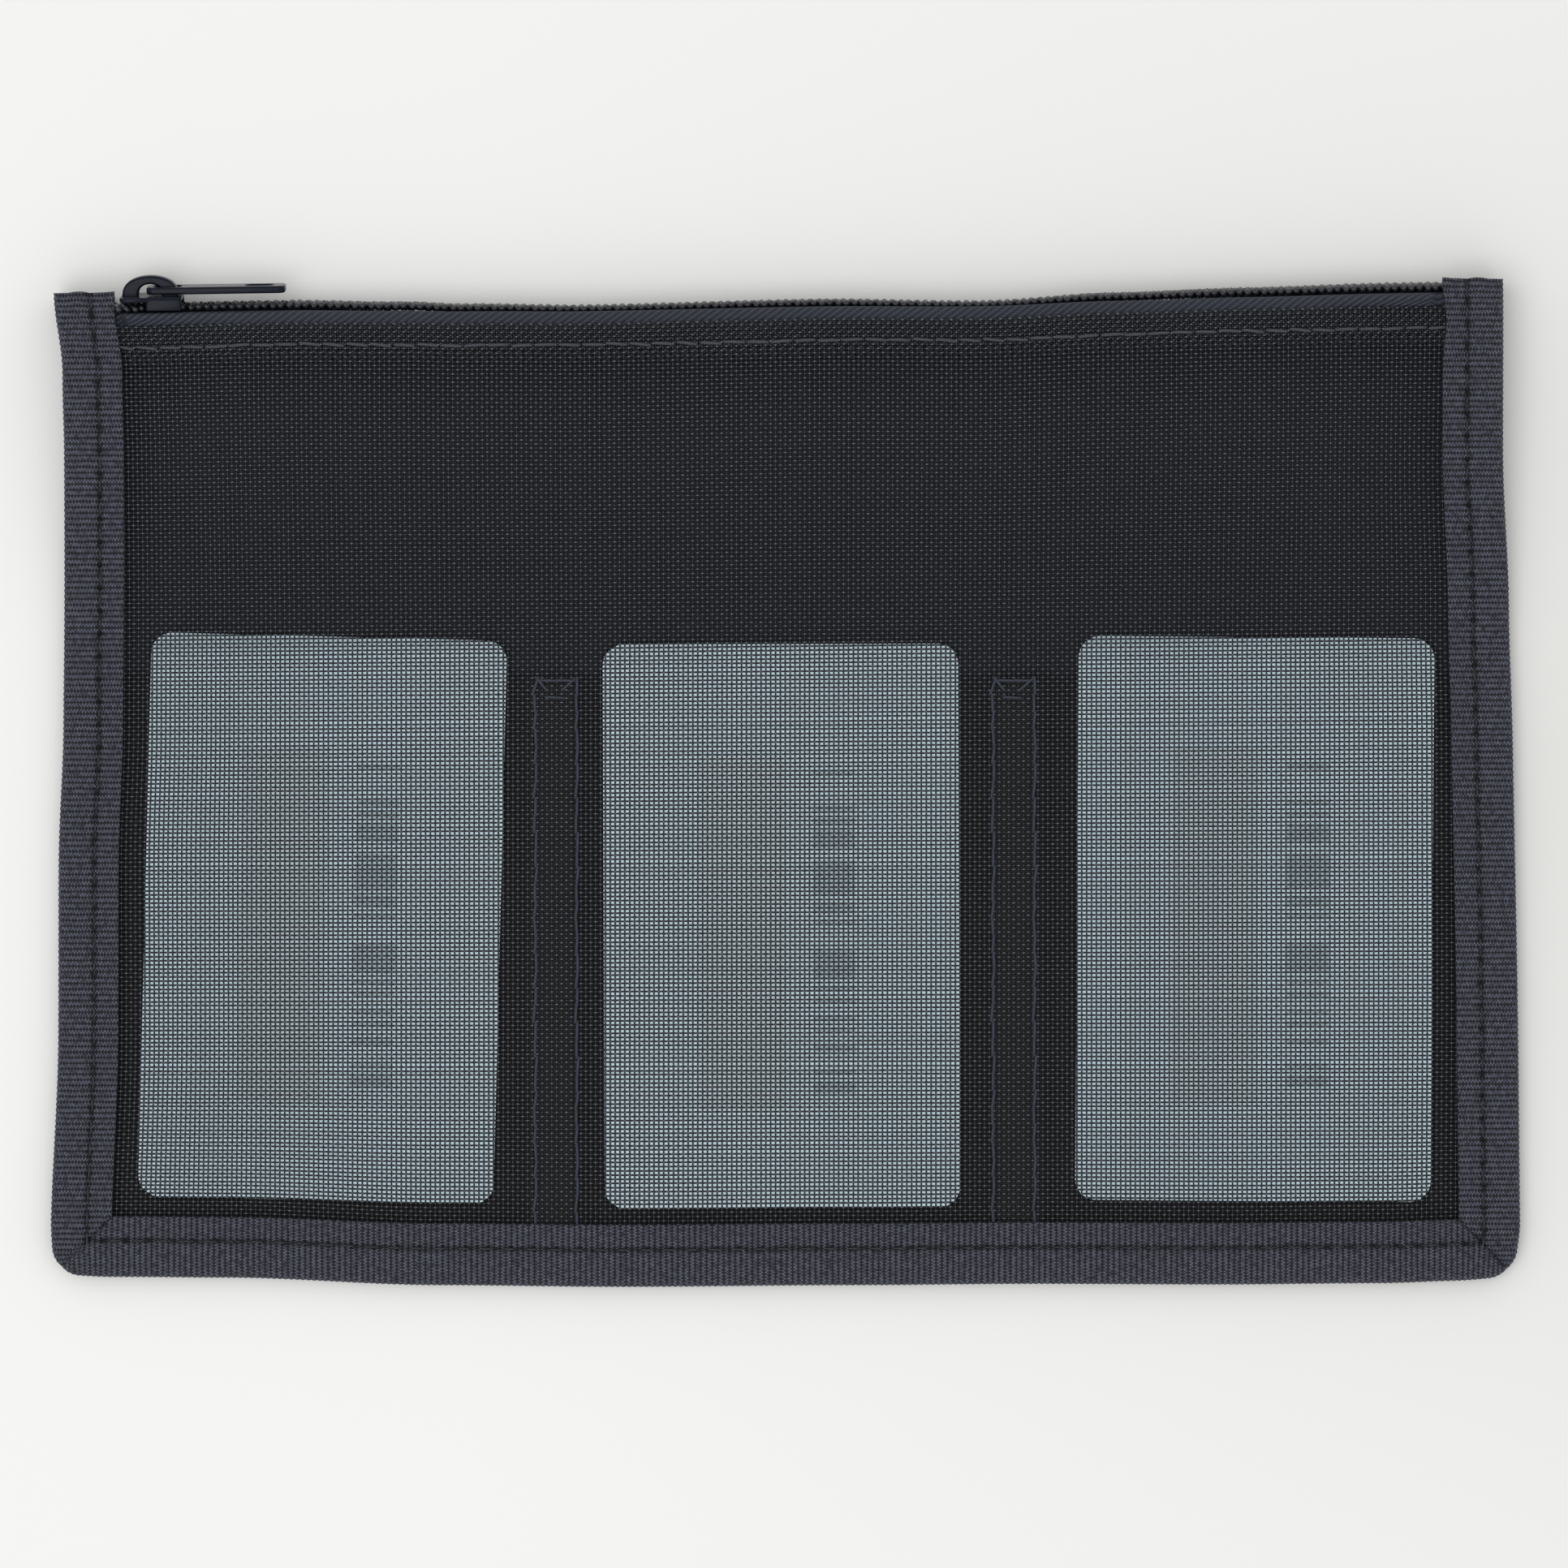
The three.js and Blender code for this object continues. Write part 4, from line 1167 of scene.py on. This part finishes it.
def edge_binding(tree, material):
    """The three legs in one piece, with their mitres closed."""
    legs, faces = [], []
    for leg in (-1, 0, 1):
        first = sum(len(points) for points, _, _ in legs)
        *columns, leg_faces = binding_leg(leg)
        legs.append(columns)
        faces.extend([corner + first for corner in face] for face in leg_faces)
    points, out, places = (np.concatenate(columns) for columns in zip(*legs))
    mesh = mesh_of("edge_binding", settle(points), faces)
    store(mesh, "along", "POINT", places[:, 0])
    store(mesh, "out", "POINT", out)
    paint_map(mesh, "Tape", places)
    piece = grow("edge_binding_tape", tree, mesh, material)
    close_seams(piece.data)
    dress(piece, material, "binding_tape", "edge_binding")


def close_seams(mesh):
    """Joins points that lie on each other and drops the faces that vanish."""
    work = bmesh.new()
    work.from_mesh(mesh)
    bmesh.ops.remove_doubles(work, verts=work.verts, dist=JOIN_DISTANCE * MM)
    bmesh.ops.dissolve_degenerate(work, edges=work.edges, dist=VANISHED_EDGE * MM)
    bmesh.ops.recalc_face_normals(work, faces=work.faces)
    work.to_mesh(mesh)
    work.free()


# Zip


def rounded_corner(start, corner, end, radius, count):
    """Points on the arc that rounds the middle of three points."""
    back = (start - corner) / np.linalg.norm(start - corner)
    ahead = (end - corner) / np.linalg.norm(end - corner)
    half = math.acos(np.clip(back @ ahead, -1.0, 1.0)) / 2
    first = corner + back * radius / math.tan(half)
    last = corner + ahead * radius / math.tan(half)
    middle = back + ahead
    centre = corner + middle / np.linalg.norm(middle) * radius / math.sin(half)
    arc = []
    for share in np.linspace(0.0, 1.0, count + 1):
        chord = lerp(first, last, share) - centre
        arc.append(centre + chord / np.linalg.norm(chord) * radius)
    return arc


def tape_section(side, x):
    """Middle of a tape in Y and Z, from its edge at the coil, round its bend, to its end."""
    past = depth_from_side(x, ZIP_Y) - BINDING_WIDTH - LAYER_GAP
    reach = lerp(TAPE_PINCH, TAPE_FLAT + TAPE_BEND, smooth(past / TAPE_PINCH_RUN))

    def on_face(distance):
        return np.array([zip_line_y(x) - side * distance * math.sin(ZIP_TILT),
                         ZIP_Z + side * distance * math.cos(ZIP_TILT)])

    cloth_z = (front_outer_z if side > 0 else back_outer_z)(x, fold_y(x))
    layers = 2 * (FRONT_THICKNESS if side > 0 else BACK_THICKNESS) + TAPE_STACK
    held = np.array([fold_y(x), cloth_z - side * layers])
    end = held - np.array([TAPE_HELD, 0.0])
    edge, corner = on_face(TAPE_EDGE), on_face(reach)
    face = [lerp(edge, corner, share) for share in (0.0, 0.25, 0.5)]
    return np.array([*face, *rounded_corner(edge, corner, held, TAPE_BEND / 2, 5), held, end])


def thickened(path, thickness):
    """Two lines at half the thickness on either side of a path."""
    before = np.vstack([path[:1], path[:-1]])
    after = np.vstack([path[1:], path[-1:]])
    along = after - before
    along /= np.linalg.norm(along, axis=1)[:, None]
    normal = np.stack([-along[:, 1], along[:, 0]], -1)
    return path + normal * thickness / 2, path - normal * thickness / 2


def zip_tape(side, material):
    """Tape of one side of the zip. Side 1 is the front and -1 the back."""
    left = side_x(-1, ZIP_Y) + PANEL_INSET
    right = side_x(1, ZIP_Y) - PANEL_INSET
    stations = np.arange(left, right, TAPE_STEP)
    sections = np.array([thickened(tape_section(side, x), TAPE_THICKNESS) for x in stations])
    layers = sections.transpose(1, 2, 0, 3)
    x = np.broadcast_to(stations, layers.shape[:3])[..., None]
    grids = np.concatenate([x, layers], -1)
    outer, inner = grids if side < 0 else grids[::-1]
    node = f"zip_tape_{FACE_NAMES[side]}"
    name = f"{node}_cloth"
    dress(new_object(name, sheet_mesh(name, outer, inner)), material, "zip_tape", node)


def parting(x):
    """How far a row stands aside. The rows part on the left of the slider."""
    return COIL_PART * smooth((SLIDER_X - PARTING_START - x) / PARTING_LENGTH)


def coil_row(side, coil, cord, material):
    """One row of the coil, wound round its cord. The rows are half a pitch apart."""
    start = COIL_START_X - COIL_OVERRUN + TOOTH_PITCH * (0.25 if side > 0 else 0.75)
    along = np.arange(start, COIL_END_X + COIL_OVERRUN, TOOTH_PITCH / 4)
    middle = (COIL_REACH - COIL_PAST) / 2
    line = from_zip(np.stack(
        [along, np.full_like(along, COIL_MIDDLE_Y), side * (middle + parting(along))], -1))
    axes = ZIP_FRAME.to_3x3()
    name = f"zip_coil_{FACE_NAMES[side]}"
    row = grow(name, coil, line_mesh("coil_line", [line]), material,
               out=tuple(axes.col[1]), across=tuple(side * axes.col[2]))
    dress(row, material, "zip_coil", f"zip_teeth_{FACE_NAMES[side]}")
    core = grow(f"{name}_cord", cord, line_mesh("cord_line", [line]), material)
    dress(core, material, "zip_coil")


# Stitching


def front_path(corners, lift):
    """Path on the front through corner points, with a point in each millimetre."""
    corners = np.array(corners, float)
    path = []
    for start, end in zip(corners[:-1], corners[1:]):
        count = max(int(np.linalg.norm(end - start)), 1)
        path.extend(lerp(start, end, share) for share in np.arange(count) / count)
    path = np.array([*path, corners[-1]])
    return np.column_stack([path, front_outer_z(path[:, 0], path[:, 1]) + lift])


def wander(distance, waves):
    """How far a seam sways from its line."""
    return sum(height * np.sin(distance * rate) for height, rate in waves)


def binding_seam(leg):
    """Stitch line on the front of one leg, in its groove."""
    if leg == 0:
        reach = (int((BOTTOM_WIDTH / 2 - STITCH_DEPTH) / STITCH_PITCH) - 0.5) * STITCH_PITCH
        along = np.linspace(-reach, reach, BOTTOM_SEAM_POINTS)
    else:
        length = binding_end_y(leg) - BOTTOM_Y - STITCH_DEPTH
        along = np.linspace(STITCH_PITCH / 2, length, SIDE_SEAM_POINTS)
    x, y, _ = leg_point(leg, along, STITCH_DEPTH)
    return np.column_stack([x, y, seam_top_z(y)])


def divider_seams():
    """Stitch lines on each divider's two sides and over its top, and a tack between them."""
    paths = []
    for side in (-1, 1):
        middle = divider_x(side) - side * DIVIDER_SHIFT
        left, right = middle - DIVIDER_WIDTH / 2, middle + DIVIDER_WIDTH / 2
        top = POCKET_TOP_Y - POCKET_SEAM_DEPTH
        outline = front_path(
            [(left, POCKET_FLOOR_Y), (left, top), (right, top), (right, POCKET_FLOOR_Y)],
            DIVIDER_LIFT)
        outline[:, 0] += wander(outline[:, 1], DIVIDER_WAVES)
        paths.append(outline)
        tack = [(left + TACK_LEFT[0], top - TACK_LEFT[1]),
                (middle - TACK_SHIFT, POCKET_TOP_Y - TACK_DEPTH),
                (right - TACK_RIGHT[0], top - TACK_RIGHT[1])]
        paths.append(front_path(tack, TACK_LIFT))
    return paths


def hem_seam():
    """Stitch line along the zip, through the hem and the tape."""
    inset = BINDING_WIDTH - HEM_SEAM_OVERRUN
    x = np.linspace(side_x(-1, ZIP_Y) + inset, side_x(1, ZIP_Y) - inset, HEM_SEAM_POINTS)
    y = fold_y(x) - HEM_SEAM_DEPTH + wander(x, HEM_WAVES)
    return np.column_stack([x, y, front_outer_z(x, y) + HEM_SEAM_LIFT])


def sew(tree, name, paths):
    """Stitches of one kind along their paths, in their own thread."""
    seam = SEAMS[name]
    thread = sewing_thread(seam.thread, seam.color)
    made = grow(name, tree, line_mesh(name, paths), thread, pitch=seam.pitch * MM,
                length=seam.length * MM, thread=seam.width * MM, slant=seam.slant * MM)
    dress(made, thread, "binding_tape")


# Slider and pull


def rounded_outline(start_x, length, width, radius, middle=0.0, steps=5):
    """Rectangle with round corners that lies along X, as a list of points."""
    points = []
    start_y = middle - width / 2
    left, right = start_x + radius, start_x + length - radius
    low, high = start_y + radius, start_y + width - radius
    for centre_x, centre_y, start in (
            (right, low, -90), (right, high, 0), (left, high, 90), (left, low, 180)):
        for turn in np.radians(np.linspace(start, start + 90, steps + 1)):
            points.append((centre_x + radius * math.cos(turn), centre_y + radius * math.sin(turn)))
    return points


def plate(name, outlines, low, high, frame):
    """Bevelled plate of flat outlines, raised between two heights of a frame."""
    bevel = BEVELS[name]
    curve = bpy.data.curves.new(name, "CURVE")
    curve.dimensions = "2D"
    curve.fill_mode = "BOTH"
    for outline in outlines:
        spline = curve.splines.new("POLY")
        spline.points.add(len(outline) - 1)
        count = len(outline)
        flat = np.column_stack([np.array(outline) * MM, np.zeros(count), np.ones(count)])
        spline.points.foreach_set("co", flat.astype(np.float32).ravel())
        spline.use_cyclic_u = True
    curve.extrude = ((high - low) / 2 - bevel) * MM
    curve.bevel_depth = bevel * MM
    curve.bevel_resolution = 2
    curve.offset = -bevel * MM
    mesh = plain_mesh(new_object(name, curve))
    in_metres = frame.copy()
    in_metres.translation = frame.translation * MM
    mesh.transform(in_metres @ Matrix.Translation((0.0, 0.0, (low + high) / 2 * MM)))
    return mesh


def lying(name, outlines, low, high):
    """Plate whose outline lies in X and Z of the slider, between two heights in Y."""
    return plate(name, outlines, -high, -low, SLIDER_FRAME @ Matrix.Rotation(math.pi / 2, 4, "X"))


def standing(name, outlines, width):
    """Plate whose outline stands in X and Y of the slider."""
    return plate(name, outlines, -width / 2, width / 2, SLIDER_FRAME)


def bezier(start, handle, end, steps=5):
    """Points of a curve after its start, drawn towards a handle."""
    shares = np.linspace(0.0, 1.0, steps + 1)[1:]
    start, handle, end = (np.array(point, float) for point in (start, handle, end))
    return [tuple(lerp(lerp(start, handle, s), lerp(handle, end, s), s)) for s in shares]


def slider_outline():
    """Wide and round at the nose on the left, drawn in at the tail."""
    half, nose, tail = SLIDER_LENGTH / 2, SLIDER_WIDTH / 2, SLIDER_TAIL_WIDTH / 2
    corner = SLIDER_CORNER
    lower = [(-half, -nose + corner)]
    lower += bezier((-half, -nose + corner), (-half, -nose), (-half + corner, -nose))
    lower += bezier((-half + corner, -nose), (-PARTING_START, -nose), (0.0, -tail))
    lower += [(half - corner / 2, -tail)]
    lower += bezier((half - corner / 2, -tail), (half, -tail), (half, -tail + corner))
    return lower + [(x, -y) for x, y in reversed(lower)]


def arch_outline():
    """The bail from the side: a low arch with a window that reaches down to the plate."""
    turns = np.linspace(math.pi, 0.0, BAIL_POINTS)
    points = [(-BAIL_REACH, -BAIL_SUNK)]
    points += [(BAIL_REACH * math.cos(t), BAIL_HEIGHT * math.sin(t) ** BAIL_POWER)
               for t in turns]
    points += [(BAIL_REACH, -BAIL_SUNK), (WINDOW_REACH, -BAIL_SUNK)]
    points += [(WINDOW_REACH * math.cos(t), WINDOW_HEIGHT * math.sin(t) ** WINDOW_POWER)
               for t in turns[::-1]]
    points += [(-WINDOW_REACH, -BAIL_SUNK)]
    return [(x + BAIL_SHIFT, y + PLATE_TOP_Y) for x, y in points]


def joined(name, meshes):
    """One object of several meshes."""
    objects = [new_object(name, mesh) for mesh in meshes]
    with bpy.context.temp_override(
            active_object=objects[0], selected_editable_objects=objects):
        bpy.ops.object.join()
    return objects[0]


def finish_metal(piece, material, body, node):
    shade_smooth(piece.data)
    split = piece.modifiers.new("corners", "EDGE_SPLIT")
    split.split_angle = METAL_CORNER
    dress(piece, material, "slider_paint", node, body=body)


def slider(material):
    """Plate, side walls, post between the rows, base plate and bail."""
    wall_low = TAPE_THICKNESS / 2 + SLIDER_CLEARANCE
    joint_y = PLATE_LOW_Y + SLIDER_OVERLAP
    wall_z = COIL_REACH + SLIDER_CLEARANCE + WALL[1] / 2
    walls = [rounded_outline(WALL_START_X, *WALL, side * wall_z) for side in (-1, 1)]
    base = rounded_outline(-SLIDER_LENGTH / 2, *BASE)
    meshes = [
        lying("plate", [slider_outline()], PLATE_LOW_Y, PLATE_TOP_Y),
        *(lying("wall", [wall], wall_low, joint_y) for wall in walls),
        lying("post", [POST], BASE_TOP_Y - SLIDER_OVERLAP, joint_y),
        lying("base", [base], BASE_TOP_Y - SLIDER_PLATE, BASE_TOP_Y),
        standing("bail", [arch_outline()], BAIL_WIDTH),
    ]
    finish_metal(joined("slider_metal", meshes), material, "slider", "slider_body")


def pull(material):
    """Flat pull with an eye round the bail's foot and a slot near its end."""
    bar = PULL_BAR / 2
    outlines = (
        rounded_outline(-bar, PULL_LENGTH + bar, PULL_WIDTH, PULL_CORNER),
        rounded_outline(bar, *EYE),
        rounded_outline(PULL_LENGTH - SLOT_MARGIN - SLOT[0], *SLOT),
    )
    shifted = [[(x + BAIL_SHIFT, y) for x, y in points] for points in outlines]
    half = PULL_THICKNESS / 2
    hinge_y = PLATE_TOP_Y + half + HINGE_CLEARANCE
    mesh = lying("pull_metal", shifted, hinge_y - half, hinge_y + half)
    finish_metal(new_object("pull_metal", mesh), material, "pull", "pull_tab")


# Cards, floor, light and camera


def dress_cards(nodes):
    for name, (pocket, shift, lift, turn) in CARD_PLACES.items():
        x = pocket * (CARD_WIDTH + POCKET_EASE + DIVIDER_WIDTH) + BOTTOM_SHIFT + shift
        y = POCKET_FLOOR_Y + CARD_LIFT + lift + CARD_HEIGHT / 2
        card = nodes[name]
        card.data.materials.clear()
        card.data.materials.append(card_finish(name, (x, y), turn))


def lay_floor():
    corners = [(x * FLOOR_REACH, y * FLOOR_REACH, FLOOR_Z)
               for x, y in ((-1, -1), (1, -1), (1, 1), (-1, 1))]
    floor = new_object("floor", mesh_of("floor", corners, [(0, 1, 2, 3)]))
    floor.data.materials.append(floor_finish())


def light_and_camera():
    scene = bpy.context.scene
    world = bpy.data.worlds.new("studio")
    world.use_nodes = True
    background = world.node_tree.nodes["Background"]
    background.inputs["Color"].default_value = (1.0, 1.0, 1.0, 1.0)
    background.inputs["Strength"].default_value = SKY_STRENGTH
    scene.world = world
    lamp = bpy.data.lights.new("window_light", "AREA")
    lamp.shape = "DISK"
    lamp.size = LAMP_SIZE
    lamp.energy = LAMP_POWER
    holder = new_object("window_light", lamp)
    holder.location = LAMP_AT
    holder.rotation_mode = "QUATERNION"
    holder.rotation_quaternion = (-Vector(LAMP_AT)).to_track_quat("-Z", "Y")
    lens = bpy.data.cameras.new("camera")
    lens.sensor_width = SENSOR_WIDTH
    lens.lens = SENSOR_WIDTH * CAMERA_HEIGHT / VIEW_WIDTH
    camera = new_object("camera", lens)
    camera.location = (0.0, 0.0, CAMERA_HEIGHT)
    scene.camera = camera
    scene.view_settings.view_transform = "Standard"


clear_scene()
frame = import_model()

twill = zip_twill()
nylon = coil_nylon()
paint = slider_paint()

front_mesh(weave_tree(), mesh_yarn())
back_cloth(dense_cloth("back_nylon", (0.0135, 0.0165, 0.024)))
pocket_cloth(dense_cloth("pocket_nylon", (0.0034, 0.0030, 0.0028)))
edge_binding(rib_tree(), grosgrain())
zip_tape(1, twill)
zip_tape(-1, twill)
coil = coil_tree()
cord = cord_tree()
coil_row(1, coil, cord, nylon)
coil_row(-1, coil, cord, nylon)
stitches = stitch_tree()
sew(stitches, "binding_stitches", [binding_seam(leg) for leg in (-1, 0, 1)])
sew(stitches, "divider_stitches", divider_seams())
sew(stitches, "hem_stitches", [hem_seam()])
slider(paint)
pull(paint)
dress_cards(frame["nodes"])
lay_floor()
light_and_camera()
